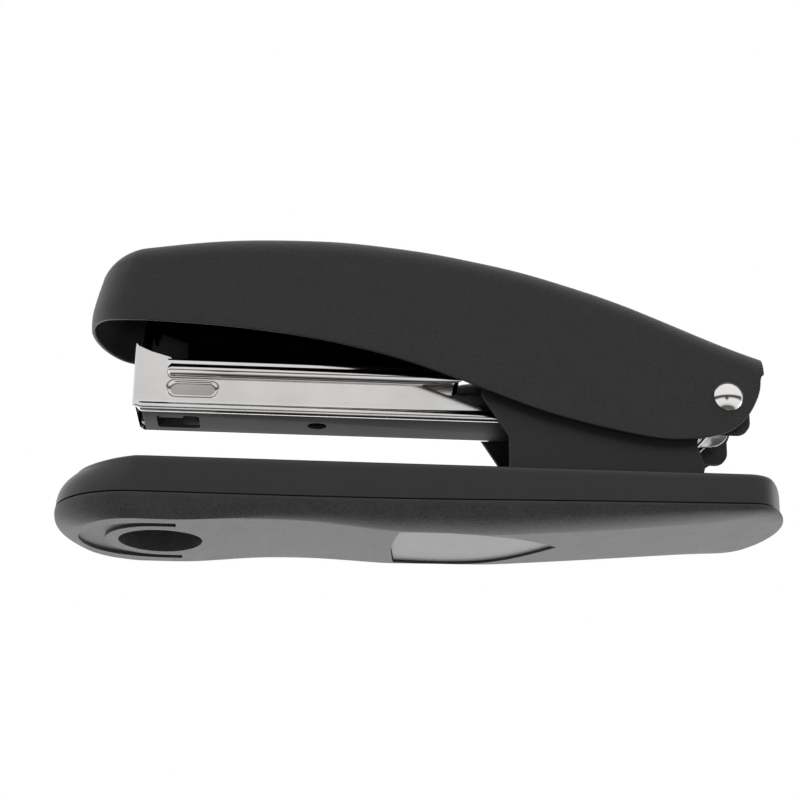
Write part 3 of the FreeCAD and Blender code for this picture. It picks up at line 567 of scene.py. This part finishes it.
# band: rows from the middle of its roof, down inside, under the lip, up the outer wall and over to the middle
def makeBand():
    b = bandShape
    lean, edge, wall, lip = b["lean"], b["edge"], b["wall"], b["lip"]
    outer = basePlan(b["inset"])
    middle, inwards = towardsMiddle(outer)
    x = outer[:, 0]
    noseward = np.clip(inwards[:, 0], 0, 1) * (x < 0)
    low, top = readTable(seamLine, x), baseSize["top"]
    high = top - b["noseDrop"] * ease((b["noseFrom"] - x) / b["noseOver"]) \
        - b["tailDrop"] * np.clip((x - b["tailFrom"]) / b["tailOver"], 0, 1) ** 2
    roof = top - wall - b["roofGap"]

    def row(inset, z):
        return atHeight(outer + inwards * np.broadcast_to(inset, x.shape)[:, None], z)

    rows = [atHeight(middle, roof), row(wall + lean, roof), row(wall, low + b["lipHeight"]), row(wall, low),
            row(lip, low)]
    for t in np.linspace(0, 1, 9):
        rows.append(row((lean * t ** 3 - b["flush"] * (1 - t)) * noseward, low + lip + (high - edge - low - lip) * t))
    for a in np.radians(np.linspace(15, 90, 6)):
        rows.append(row(lean * noseward + (edge + b["edgeNoseward"] * noseward) * (1 - math.cos(a)),
                        high - edge + edge * math.sin(a)))
    rows += [row(edge + lean + 4.0, np.minimum(high + 0.05, top)), row(edge + lean + 7.0, top), atHeight(middle, top)]
    return makePiece("base_band", loft(rows), sharp=28)


place(makeBand(), "base", "band", "base_top")
print("band done")

soleShape = {"turn": 74, "noseInset": 3.6, "seamGap": 0.25, "shoulder": 0.6, "ledge": 1.4, "recess": 1.0,
             "hole": 8.95, "holeX": -55.8, "tube": 1.9, "tubeLow": 5.0, "tubeHigh": 12.2,
             "grooveDepth": 0.7, "grooveInner": 2.75, "grooveOuter": 5.3, "grooveReach": 8.5, "grooveEnd": 4.0}
# how far the side turns in under the sole, at each place along it
soleInsets = ((-60.6, 0.5), (-53, 0.6), (-43, 1.0), (-35, 1.8), (-27, 2.4), (-19, 3.1), (-12, 3.9), (-4, 4.5),
              (3, 5.0), (14, 5.4), (26, 5.6), (37, 5.7), (49, 5.6), (58, 5.4), (66, 4.9), (73, 4.0), (78.6, 3.0))


panelShape = {"half": 12.6, "front": -5.3, "tip": 29.4, "gap": 0.06, "face": 0.6, "back": 0.99, "edge": 0.12}


# leaf outline: nearly square front, sides swelling a little, pointed rear
def leafOutline(inset):
    w, x0, tip = panelShape["half"] - inset, panelShape["front"] + inset, panelShape["tip"] - 1.5 * inset
    span = tip - x0
    side = curveThrough([(tip, 0), (x0 + 0.74 * span, 0.66 * w), (x0 + 0.42 * span, w), (x0, w)], 40)
    front = curveThrough([(x0, w), (x0 - 1.0, 0), (x0, -w)], 16)
    return np.concatenate([side[:-1], front[:-1], (side * [1, -1])[::-1][:-1]])


# the side follows a quarter turn: upright under the seam, its inset growing with the fall down to the underside
def soleBody():
    d = soleShape
    outer = basePlan(0)
    middle, inwards = towardsMiddle(outer)
    x = outer[:, 0]
    turnX = baseSize["half"] - halfLength
    fromFront = np.clip((turnX - x) / baseSize["half"], 0, 1)
    inset = np.where(x < turnX, 0.5 + d["noseInset"] * fromFront ** 1.4, readTable(soleInsets, x))
    foot = outer + inwards * inset[:, None]
    low, high = floorHeight(foot[:, 0]), readTable(seamLine, x)
    ledge, start = high - d["seamGap"], high - d["shoulder"]
    rows = [atHeight(middle, ledge), atHeight(outer + inwards * d["ledge"], ledge),
            atHeight(outer + inwards * 0.35, ledge), atHeight(outer + inwards * 0.08, high - 0.38)]
    end = math.radians(d["turn"])
    for a in np.linspace(0, end, 15):
        inward, fall = ((1 - math.cos(a)) / (1 - math.cos(end))) ** 1.25, math.sin(a) / math.sin(end)
        rows.append(atHeight(outer + inwards * (inset * inward)[:, None], start - (start - low) * fall))
    for share in (0.06, 0.3, 0.6, 1.0):
        p = foot + (middle - foot) * share
        rows.append(atHeight(p, floorHeight(p[:, 0])))
    return makePiece("base_sole_body", loft(rows), sharp=30)


# a flat cutter that follows the underside, from well below it up to lift above it
def underCutter(outline, lift):
    below = -3.0
    inner = [outline * [1, 1 - share] for share in (0.35, 0.7, 1.0)]
    rows = [atHeight(p, below) for p in inner[::-1] + [outline]]
    rows += [atHeight(p, floorHeight(p[:, 0]) + lift) for p in [outline] + inner]
    return makePiece("cutter", loft(rows))


# horseshoe round the thumb hole, open to the rear
def horseshoeOutline():
    x, r = soleShape["holeX"], soleShape["hole"]
    inner, outer, reach = (r + soleShape[k] for k in ("grooveInner", "grooveOuter", "grooveReach"))
    end = soleShape["grooveEnd"]
    a = np.radians(np.linspace(90, 270, 60))
    grow = outer + (reach - outer) * np.clip(-np.cos(a), 0, 1) ** 2
    out = np.stack([x + grow * np.cos(a), grow * np.sin(a)], 1)
    inn = arc(x, 0, inner, 270, 90, 50)
    return np.concatenate([[(x + end, outer)], out, [(x + end, -outer)], [(x + end, -inner)], inn, [(x + end, inner)]])


def makeSole():
    sole, d = soleBody(), soleShape
    at, r = (d["holeX"], 0, 0), d["hole"]
    ring = horseshoeOutline()
    ends = [atHeight(ring, z) for z in (-2.0, d["grooveDepth"])]
    groove = makePiece("cutter", loft(ends).cap(ends[0]).cap(ends[1]))
    hole = makePiece("cutter", solidOfRevolution([(0, -2), (r, -2), (r, 9), (0, 9)], at, "z", 96))
    cutWith(sole, [groove, underCutter(leafOutline(0), d["recess"]), hole])
    low, high, wall = d["tubeLow"], d["tubeHigh"], r + d["tube"]
    tube = makePiece("tube", solidOfRevolution([(r, low), (r, high), (wall, high), (wall, low), (r, low)], at, "z", 96))
    both = bmesh.new()
    both.from_mesh(sole.data)
    both.from_mesh(tube.data)
    both.to_mesh(sole.data)
    both.free()
    bpy.data.objects.remove(tube)
    sole.data.shade_smooth()
    sole.data.set_sharp_from_angle(angle=math.radians(30))
    sole.name = "base_sole_shell"
    return sole


place(makeSole(), "base", "sole", "base_sole")
print("sole done")


# the leaf panel sits in its recess, its face a little under the sole's: rows from the middle of the back, round the
# edge and in to the middle of the face, all following the underside
def makePanel():
    gap, face, back, edge = (panelShape[k] for k in ("gap", "face", "back", "edge"))
    rim, closed = leafOutline(gap), leafOutline(gap) * [1, 0.0]
    lines = [(closed, back), (rim, back), (rim, face + edge), (leafOutline(gap + edge), face)]
    lines += [(rim * [1, 1 - inward / panelShape["half"]], face) for inward in (3.0, 8.0)] + [(closed, face)]
    rows = [atHeight(p, floorHeight(p[:, 0]) + lift) for p, lift in lines]
    return makePiece("leaf_panel", loft(rows), sharp=30)


place(makePanel(), "base", "panel", "label_panel")
print("panel done")

handleShape = {"half": 14.5, "wall": 1.6, "rimWall": 0.75, "thickenOver": 9, "lip": 0.3, "shoulder": 4.6,
               "noseShoulder": 0.2, "noseLean": 15, "camber": 0.45, "medialFront": -58.5}
# rim x, rim z and the x of the crown above it, from the tail round the open end and forward to the nose
handleRim = ((72.4, 36.6, 73.2), (72.3, 34.2, 72.2), (71.4, 31.3, 70.7), (69.5, 27.9, 68.3), (66.2, 24.7, 64.5),
             (62.0, 23.0, 60.0), (56.0, 22.0, 54.4), (51.0, 21.95, 49.8), (44.0, 22.9, 43.2), (35.9, 24.55, 35.4),
             (24.4, 27.6, 24.2), (11.9, 32.1, 11.9), (-3.2, 37.4, -3.2), (-19.9, 41.4, -19.9), (-37.1, 43.8, -37.1),
             (-48.0, 44.6, -48.0), (-58.0, 45.0, -58.0))
# and round the nose, where the rim lifts: x, y and rim height
handleNose = ((-58.0, 14.5, 45.0), (-62.5, 14.45, 45.02), (-66.0, 13.9, 45.15), (-69.0, 12.1, 45.6),
              (-71.1, 9.4, 46.05), (-72.5, 6.2, 46.4), (-73.25, 3.1, 46.65), (-73.5, 0.0, 46.7))
# how far the nose wall stands back from its rim at each height
handleBow = ((45.0, 0.0), (46.7, 0.0), (49.0, -0.1), (53.0, 0.5), (57.0, 1.5), (60.0, 2.5), (64.0, 3.6))
# the top of the cover along its middle
crownLine = ((-74.0, 60.8), (-70.0, 61.75), (-66.0, 62.65), (-59.0, 63.95), (-52.3, 65.0), (-44.0, 65.98),
             (-36.0, 66.5), (-27.0, 66.72), (-19.3, 66.65), (-9.0, 65.9), (0.6, 64.8), (10.0, 63.2), (20.6, 61.0),
             (30.6, 58.2), (40.6, 55.0), (50.4, 51.2), (60.3, 47.1), (68.0, 44.1), (73.2, 42.3))


# one skin of the cover, inset from the outside: for each station from tail to nose, a section that climbs the near
# wall from the rim, rounds the shoulder along a circle, crosses the crown and comes down the far wall; the crown falls
# by the camber times the square of the distance from the middle
def coverSkin(inset):
    s = handleShape
    thin = (s["wall"] - s["rimWall"]) * inset / s["wall"]
    side, nose = curveThrough(handleRim, 190), curveThrough(handleNose, 44)[1:]
    x, rim, over = (np.concatenate([side[:, i], nose[:, j]]) for i, j in ((0, 0), (1, 2), (2, 0)))
    y = np.concatenate([np.full(len(side), s["half"]), nose[:, 1]])
    middle = np.maximum(over, s["medialFront"])
    reach = np.hypot(middle - over, y)
    ux, uy = (middle - over) / reach, -y / reach
    noseward = ease(ux * 1.6) * (over < s["medialFront"])
    r = s["shoulder"] - s["noseShoulder"] * noseward - inset
    lean = math.radians(s["noseLean"]) * noseward
    camber = s["camber"]

    def crown(at):
        return readTable(crownLine, at) - inset

    top = crown(over) - r * (1 - np.sin(lean)) - camber
    rows = []
    for t in np.linspace(0, 1, 24):
        z = rim + s["lip"] + (top - rim - s["lip"]) * t
        back = readTable(handleBow, z) * noseward
        deep = inset - thin * (1 - ease((z - rim) / s["thickenOver"]))
        rows.append(np.stack([x + (over - x) * t + back + ux * deep, y + uy * deep, z], 1))
    startX, startY = rows[-1][:, 0], rows[-1][:, 1]
    dx, dy = middle - startX, -startY
    left = np.hypot(dx, dy)
    for t in np.linspace(0.1, 1, 10):
        a = lean + (math.pi / 2 - lean) * t
        share = r * (np.cos(lean) - np.cos(a)) / left
        px = startX + dx * share
        rows.append(np.stack([px, startY + dy * share, crown(px) - r * (1 - np.sin(a)) - camber * (1 - share) ** 2], 1))
    turned = r * np.cos(lean)
    for t in np.linspace(0, 1, 14)[1:]:
        share = (turned + (left - turned) * t) / left
        px = startX + dx * share
        rows.append(np.stack([px, startY + dy * share, crown(px) - camber * (1 - share) ** 2], 1))
    half = np.array(rows).transpose(1, 0, 2)
    return np.concatenate([half * [1, -1, 1], half[:, ::-1][:, 1:]], 1)


# rounded rim between two edges of the skins, the drop following a rounded arch
def coverLip(near, far):
    rows = []
    for share in (0.03, 0.12, 0.3, 0.5, 0.7, 0.88, 0.97):
        drop = handleShape["lip"] * math.sqrt(1 - abs(2 * share - 1) ** 3)
        rows.append(near + (far - near) * share - np.array([0, 0, drop]))
    return np.array(rows).transpose(1, 0, 2)


# cover: the outer and inner skins joined by a rounded rim, and the open tail closed between them
def makeCover():
    outer, inner = coverSkin(0), coverSkin(handleShape["wall"])
    lipFar, lipNear = coverLip(outer[:, -1], inner[:, -1]), coverLip(inner[:, 0], outer[:, 0])
    ring = np.concatenate([outer, lipFar, inner[:, ::-1], lipNear], 1)
    shape = Shape().grid(ring, loopV=True).grid(np.array([outer[0], inner[0]]))
    shape.cap(np.concatenate([outer[:1, -1], lipFar[0], inner[:1, -1]]))
    shape.cap(np.concatenate([inner[:1, 0], lipNear[0], outer[:1, 0]]))
    return makePiece("handle_shell", shape, sharp=35)


place(makeCover(), "handle", "handle", "handle_cover")
print("handle cover done")

ribShape = {"places": (-36.0, 4.0), "thick": 1.4, "inside": 0.9, "corner": 3.4, "edge": 0.2, "armGap": 0.1}


# two cross ribs stiffen the cover, from just over the sloping press arm up to its roof
def makeRib(x):
    armTop = 41.5 + 9.1 * (65.3 - x) / 128.4 + 0.8
    low, c = armTop + ribShape["armGap"], ribShape["corner"]
    high, w = float(readTable(crownLine, x)) - ribShape["inside"], handleShape["half"] - ribShape["inside"]
    outline = np.concatenate([[(-w, low)], [(w, low)], arc(w - c, high - c, c, 0, 90, 8),
                              arc(c - w, high - c, c, 90, 180, 8)])
    plate = roundedPlate(outline, x, x + ribShape["thick"], ribShape["edge"], lambda y, z, d: np.stack([d, y, z], -1))
    return makePiece("cover_rib_%d" % (x > -20), plate)


for ribX in ribShape["places"]:
    place(makeRib(ribX), "handle", "handle")

magazineShape = {"half": 7.2, "low": 27.0, "noseLow": 28.0, "nose": -63.1, "corner": 1.1, "sheet": 0.7, "rear": 60}
ovalShape = {"x": -50.25, "z": 32.1, "straight": 3.65, "round": 1.7, "deep": 0.42, "tilt": 0.04}
magazineTop = ((-63.1, 42.8), (-62.3, 41.7), (-59.5, 40.5), (-55.3, 39.3), (-54.0, 37.6), (-30.0, 36.9), (-3.9, 35.9),
               (3.0, 33.4), (10.0, 30.9), (13.0, 30.6), (60.0, 30.6))
# section of the rolled lower edge: push out from the wall, rise above its foot
magazineBead = ((-0.7, 0.0), (-0.25, 0.0), (0.15, 0.1), (0.4, 0.32), (0.5, 0.65), (0.5, 1.1), (0.4, 1.5), (0.18, 1.8),
                (0.0, 2.1), (0.0, 2.4))


# side and nose walls as one strip bent round the nose, with a rolled lower edge and a pressed oval on each side; the
# oval is the set of points within its round of a straight line, and its wall eases in over half a millimetre
def makeMagazineWalls():
    m, oval = magazineShape, ovalShape
    along = np.concatenate([np.linspace(m["rear"], 14, 30), np.linspace(13.5, -40, 90), np.linspace(-40.3, -62.0, 74)])
    bend = arc(m["nose"] + m["corner"], m["half"] - m["corner"], m["corner"], 90, 180, 9)[1:]
    front = np.stack([np.full(14, m["nose"]), np.linspace(m["half"] - m["corner"], 0, 15)[1:]], 1)
    half = np.concatenate([np.stack([along, np.full(len(along), m["half"])], 1), bend, front])
    path = np.concatenate([half, (half * [1, -1])[::-1][1:]])
    out = turnedIn(path, False)
    if out[0, 1] < 0:
        out = -out
    x = path[:, 0]
    side = ease((x + 62.6) / 1.6)
    top = np.interp(x, *np.array(magazineTop).T)
    rows = []
    for push, rise in magazineBead:
        z = side * (m["low"] + rise) + (1 - side) * (m["noseLow"] + 0.6 * rise)
        rows.append(atHeight(path + out * (push * side)[:, None], z))
    first = rows[-1][:, 2]
    for t in np.linspace(0, 1, 44)[1:]:
        z = first + (top - first) * t
        beside = np.maximum(np.abs(x - oval["x"]) - oval["straight"], 0)
        away = np.hypot(beside, z - oval["z"]) - oval["round"]
        deep = oval["deep"] + oval["tilt"] * (oval["z"] - z)
        press = -deep * ease(0.5 - away / 0.5) * (np.abs(path[:, 1]) > m["half"] - 0.05)
        rows.append(atHeight(path + out * press[:, None], z))
    walls = makePiece("magazine_walls", Shape().grid(np.array(rows)), closed=False)
    outer = min(walls.data.polygons, key=lambda f: f.center.y)
    if outer.normal.y > 0:
        walls.data.flip_normals()
    step = walls.modifiers.new("sheet", "SOLIDIFY")
    step.thickness, step.offset = m["sheet"] * mm, -1
    settle(walls, 40)
    return walls


place(makeMagazineWalls(), "magazine", "bright", "magazine_shell")


hinge = {"x": 65.3, "z": 32.0}  # middle of the pin
lugShape = {"foot": ((52.0, 27.1), (52.0, 30.6)), "back": ((55.3, 30.7), (59.7, 33.2), (62.9, 36.0), (65.3, 36.8)),
            "round": 4.8, "edge": 0.12}


# rear lugs of the magazine, round the pin
def makeMagazineLugs():
    m, v = magazineShape, lugShape
    turn = arc(hinge["x"], hinge["z"], v["round"], 88, -90, 24)
    outline = np.concatenate([v["foot"], curveThrough(v["back"], 14), turn])
    return sheetPair("magazine_lug", outline[::-1], m["half"] - m["sheet"], m["half"], v["edge"])


for piece in makeMagazineLugs():
    place(piece, "magazine", "bright")


def roundedBox(x0, x1, y0, y1, r, n=6):
    return np.concatenate([arc(x1 - r, y1 - r, r, 0, 90, n), arc(x0 + r, y1 - r, r, 90, 180, n),
                           arc(x0 + r, y0 + r, r, 180, 270, n), arc(x1 - r, y0 + r, r, 270, 360, n)])


floorShape = {"front": -60.9, "rear": 61.0, "half": 6.55, "low": 27.0, "sheet": 0.7, "windowFront": -58.0,
              "windowRear": -48.8, "windowHalf": 4.0, "sight": 2.1, "sightX": -23.1}


# magazine floor with the window that the staple leaves by and a sight hole
def makeMagazineFloor():
    f = floorShape
    low, high = f["low"] - 1, f["low"] + 2
    outline = roundedBox(f["front"], f["rear"], -f["half"], f["half"], 0.5)
    plate = makePiece("magazine_floor", roundedPlate(outline, f["low"], f["low"] + f["sheet"], 0.1, lying))
    outline = roundedBox(f["windowFront"], f["windowRear"], -f["windowHalf"], f["windowHalf"], 1.0)
    window = makePiece("cutter", roundedPlate(outline, low, high, 0.01, lying, 1))
    profile = [(0, low), (f["sight"], low), (f["sight"], high), (0, high)]
    sight = makePiece("cutter", solidOfRevolution(profile, (f["sightX"], 0, 0), "z", 48))
    return cutWith(plate, [window, sight])


# the floor plate's darkened steel paints shade on the magazine's floor
place(makeMagazineFloor(), "magazine", "floor")
print("magazine done")

railShape = {"inner": 7.35, "outer": 8.05, "top": 38.9, "bead": 1.4, "sheet": 0.7, "spineFront": 7.0,
             "spineRear": 61.5, "edge": 0.12}
# size of the rolled edges at places along the rail
railBead = ((-55.8, 0.55), (-55.55, 0.8), (-55.1, 1.0), (-40, 1.0), (-20, 1.0), (-4, 1.0), (1.0, 0.92), (4.5, 0.7),
            (7.0, 0.4), (8.1, 0.15))


# cover rail: its section, open below with a thick rolled edge each side, carried back and run out at the rear
def makeRail():
    r = railShape
    inner, outer, top, bead, sheet = (r[k] for k in ("inner", "outer", "top", "bead", "sheet"))
    rows = []
    for x, grow in railBead:
        q, cy, cz = bead * grow, outer - 0.45, top - 1.4 - bead
        ball = arc(cy, cz, q, 62, -90, 16)
        ball[:, 0] = np.maximum(ball[:, 0], inner + 0.02)
        half = np.concatenate([[(0, top)], [(4.0, top)], arc(inner, top - 0.7, 0.7, 90, 0, 5), [(outer, top - 1.3)],
                               ball, [(inner, cz - q), (inner, cz)], [(inner, top - sheet)], [(4.0, top - sheet)],
                               [(0, top - sheet)]])
        loop = np.concatenate([half, (half * [-1, 1])[::-1][1:-1]])
        rows.append(np.stack([np.full(len(loop), x), loop[:, 0], loop[:, 1]], 1))
    return makePiece("rail_channel", loft(rows).cap(rows[0]).cap(rows[-1]), sharp=35)


def makeSpine():
    r = railShape
    outline = roundedBox(r["spineFront"], r["spineRear"], -r["outer"], r["outer"], 0.6)
    return makePiece("rail_spine", roundedPlate(outline, r["top"] - r["sheet"], r["top"], 0.15, lying))


# rear lugs of the rail: straight front edge, full round foot, waist up to the spine
def makeRailLugs():
    foot = [(56.3, 32.0), *curveThrough([(57.5, 29.2), (60.5, 27.6), (64.3, 27.6), (67.4, 28.8), (69.5, 32.0)], 14)]
    waist = curveThrough([(69.5, 32.0), (67.9, 35.8), (64.3, 37.6)], 10)[1:]
    lug = np.concatenate([[(61.3, 38.8), (56.3, 38.8)], foot, waist])
    return sheetPair("rail_lug", lug, railShape["inner"], railShape["outer"], railShape["edge"])


place(makeRail(), "rail", "rail", "cover_rail")
place(makeSpine(), "rail", "rail")
for piece in makeRailLugs():
    place(piece, "rail", "rail")
print("cover rail done")

bracketShape = {"inner": 10.4, "outer": 11.6, "front": 18.2, "rear": 57.4, "half": 11.3, "low": 13.92, "high": 15.1,
                "foot": 14.0, "edge": 0.22, "lobeX": 70.1, "lobeZ": 24.6, "lobe": 2.5}


# ear outline: upright front, leaning nose, round top over the pin, lobe behind it and a rounded foot
def earOutline():
    b = bracketShape
    x, z, lobe = hinge["x"], hinge["z"], b["lobe"]
    top = curveThrough([(x - 4.0, z + 6.3), (x, z + 6.2), (x + 3.8, z + 4.4), (b["lobeX"], z)], 16)
    return np.concatenate([
        [(b["front"], b["foot"]), (b["front"], 22.7)], curveThrough([(12.3, 31.6), (12.6, 33.6), (14.8, 34.5)], 6),
        [(x - 9.0, z + 6.2)], top, arc(b["lobeX"] - lobe, b["lobeZ"] + lobe, lobe, 0, -90, 8),
        curveThrough([(60.4, b["lobeZ"]), (59.2, 24.0), (58.4, 21.6)], 6),
        [(59.6, 18.0)], curveThrough([(59.95, 17.1), (59.5, 15.2), (57.8, b["foot"])], 6)])


def makeEars():
    return sheetPair("hinge_ear", earOutline(), *(bracketShape[k] for k in ("inner", "outer", "edge")))


def makeBracketFloor():
    b = bracketShape
    outline = roundedBox(b["front"], b["rear"], -b["half"], b["half"], 0.8)
    return makePiece("hinge_floor", roundedPlate(outline, b["low"], b["high"], 0.2, lying))


nearEar, farEar = makeEars()
place(nearEar, "base", "painted", "hinge_bracket")
place(farEar, "base", "painted")
place(makeBracketFloor(), "base", "painted")


# head of a rivet: arc of a spherical cap from its centre out to its edge
def domeProfile(r, height, base, rise, n=12):
    ball = (r * r + height * height) / (2 * height)
    a = np.linspace(0, math.asin(min(r / ball, 1)), n)
    return np.stack([ball * np.sin(a), base + rise * (height - ball * (1 - np.cos(a)))], 1)


rivetShape = {"x": (26.2, 51.6), "y": (-5.5, 5.5), "head": 2.8, "dome": 1.0, "shank": 1.5, "clench": 2.4}
pinShape = {"r": 2.0, "half": 14.6, "head": 3.2, "dome": 1.5}


def makeRivets():
    riveted, v = Shape(), rivetShape
    head, shank, clench = v["head"], v["shank"], v["clench"]
    below = [(head, 15.0), (shank, 15.0), (shank, 11.8), (clench, 11.8), (clench, 11.5), (0, 11.5)]
    profile = np.concatenate([domeProfile(head, v["dome"], 15.12, 1), below])
    for x in v["x"]:
        for y in v["y"]:
            riveted.grid(revolved(profile, (x, y, 0), "z", 40), loopV=True)
    return makePiece("bracket_rivet_set", riveted, closed=True)


# pin with a domed head at the near end and a clenched, dished far end
def makePin():
    v = pinShape
    r, end = v["r"], v["half"]
    far = [(v["head"], 0.05 - end), (r, 0.1 - end), (r, end - 0.05), (2.8, end), (2.75, 15.1), (1.9, 15.75),
           (1.3, 15.6), (0, 15.3)]
    profile = np.concatenate([domeProfile(v["head"], v["dome"], -end, -1), far])
    return makePiece("hinge_pin", solidOfRevolution(profile, (hinge["x"], 0, hinge["z"]), "y", 72), sharp=40)


place(makeRivets(), "base", "plain", "bracket_rivets")
place(makePin(), "base", "pin", "pivot_pin")
print("bracket and pin done")


# wire wound at an even pitch: a circle round the axis, its height growing with the angle
def coil(centre, axis, r, low, high, turns, wire, per=20, around=8):
    a = np.radians(-90) + np.linspace(0, 2 * math.pi * turns, int(per * turns) + 1)
    h = np.linspace(low, high, len(a))
    u, v = r * np.cos(a), r * np.sin(a)
    order = {"x": (h, u, v), "y": (u, h, v), "z": (u, v, h)}[axis]
    return tube(np.stack(order, 1) + np.array(centre), wire, around)


def woundPiece(name, d, centre, axis):
    values = (d[k] for k in ("radius", "from", "to", "turns", "wire", "per", "around"))
    return makePiece(name, coil(centre, axis, *values), sharp=60)


def joined(*shapes):
    both = Shape()
    for s in shapes:
        both.faces += [[i + both.count for i in f] for f in s.faces]
        both.points += s.points
        both.count += s.count
    return both


liftSpring = {"wire": 0.33, "radius": 3.4, "inner": 8.7, "outer": 10.0, "knee": 42.4, "foot": 51.3, "under": 26.5,
              "turns": 2}


# the two coils round the pin with the legs that stand on the bracket's floor
def makeLiftCoils():
    d = liftSpring
    x, z, foot = hinge["x"], hinge["z"], d["foot"]
    held = []
    for side in (-1, 1):
        y0, y1 = side * d["inner"], side * d["outer"]
        held.append(coil((x, 0, z), "y", d["radius"], y0, y1, d["turns"], d["wire"], 32))
        leg = [(x, y1, z - d["radius"]), (60.0, y1, 23.0), (foot + 1, y1, 15.9), (foot, y1, 15.5)]
        held.append(tube(curveThrough(leg, 14), d["wire"]))
    return makePiece("lift_spring_coils", joined(*held), sharp=60)


# the arms run forward and meet in a bar under the magazine
def makeLiftArms():
    d = liftSpring
    x, inner, knee, under = hinge["x"], d["inner"], d["knee"], d["under"]
    half = [(x, inner, hinge["z"] - d["radius"]), (55, inner, 27.6), (knee + 2, inner, 26.6), (knee + 0.3, 8.3, under),
            (knee, 7.4, under)]
    arm = [(px, -py, pz) for px, py, pz in half] + [(knee, 0, under)] + half[::-1]
    return makePiece("lift_spring_arms", tube(curveThrough(arm, 120), d["wire"]), sharp=60)


place(makeLiftCoils(), "base", "spring", "lift_spring")
place(makeLiftArms(), "magazine", "spring")

rodShape = {"r": 1.1, "edge": 0.2, "front": -61.1, "rear": 31.9, "z": 30.1}
pusherSpring = {"radius": 1.45, "from": -52.1, "to": 27.1, "turns": 56, "wire": 0.27, "per": 14, "around": 6}


def makeRod():
    r, edge, front, rear = (rodShape[k] for k in ("r", "edge", "front", "rear"))
    profile = [(0, front), (r - edge, front), (r, front + edge), (r, rear - edge), (r - edge, rear), (0, rear)]
    return makePiece("guide_bar", solidOfRevolution(profile, (0, 0, rodShape["z"]), "x", 28))


pusherCoil = woundPiece("pusher_coil", pusherSpring, (0, 0, rodShape["z"]), "x")
place(pusherCoil, "magazine", "spring", "pusher_spring")
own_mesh(pusherCoil)
place(makeRod(), "magazine", "plain", "guide_rod")

anvilSpring = {"radius": 4.6, "from": 8.45, "to": 11.95, "turns": 3.0, "wire": 0.3, "per": 36, "around": 8}
# radius and height up the middle of the button, and round the washer
buttonProfile = [(0, 6.55), (4.6, 6.5), (6.2, 6.3), (6.9, 6.2), (7.4, 6.32), (7.6, 6.6), (7.6, 7.35), (7.4, 7.6),
                 (3.0, 7.6), (3.0, 13.95), (2.6, 15.2), (0, 15.2)]
washerProfile = [(3.06, 7.6), (6.3, 7.6), (6.4, 7.7), (6.4, 8.0), (6.3, 8.1), (3.06, 8.1), (3.06, 7.6)]
anvilMiddle = (soleShape["holeX"], 0, 0)


anvilCoil = woundPiece("anvil_coil", anvilSpring, anvilMiddle, "z")
place(anvilCoil, "base", "spring", "anvil_spring")
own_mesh(anvilCoil)
button = makePiece("anvil_thumb_button", solidOfRevolution(buttonProfile, anvilMiddle, "z", 72), sharp=35)
place(button, "anvil", "plain", "anvil_button")
washer = makePiece("anvil_ring", solidOfRevolution(washerProfile, anvilMiddle, "z", 56))
place(washer, "anvil_lifter", "plain", "anvil_washer")
print("springs, button and rod done")

leafShape = {"root": -47.1, "sheet": 0.6, "rootZ": 48.52, "low": 39.0, "tip": -22.0, "curl": 2.2, "half": 4.0}


# leaf spring: its middle line, then the strip's thickness to each side of it, carried across
def makeLeafSpring():
    root, z0, low, x1, curl = (leafShape[k] for k in ("root", "rootZ", "low", "tip", "curl"))
    t = leafShape["sheet"]
    line = curveThrough([(root - 4.5, z0 + t / 2), (root + 4, z0 + t / 2), (root + 8, z0 - 0.6), (root + 14, z0 - 3.1),
                         (x1 - 5.0, low + 1.3), (x1, low + t / 2)], 44)
    line = np.concatenate([line, arc(x1, low + curl, curl - t / 2, -90, 90, 16)[1:]])
    n = turnedIn(line, False)
    outline = np.concatenate([line + n * t / 2, (line - n * t / 2)[::-1]])[::-1]
    w = leafShape["half"]
    return makePiece("leaf_spring", roundedPlate(outline, -w, w, 0.08, upright, 2), sharp=40)


leaf = makeLeafSpring()
# the leaf spring inside the handle takes the darkened steel: partly its own finish, partly painted shade
place(leaf, "handle", "bluedAndShaded", "return_spring")
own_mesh(leaf)

# parts whose imported shape is already right get their finish and a small rounding on the edges
# press arm, driver and their rivets sit inside the handle: their darkened steel is partly their own finish and partly
# painted shade
kept = {"anvil_plate": "plain", "press_arm": "bluedAndShaded", "staple_track": "plain", "track_rivets": "plain",
        "rod_holder": "inner", "pusher": "inner", "driver_blade": "bluedAndShaded", "driver_rivets": "bluedAndShaded",
        "spring_rivet": "bluedAndShaded"}
keptEdges = {"weld": 0.00001, "round": 0.12, "from": 35}  # metres, millimetres, degrees
for name, look in kept.items():
    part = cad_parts[name]
    part.data.materials.clear()
    part.data.materials.append(finish[look])
    weld = part.modifiers.new("weld", "WELD")
    weld.merge_threshold = keptEdges["weld"]
    softEdges(part, keptEdges["round"], keptEdges["from"])
print("carried-over parts finished")
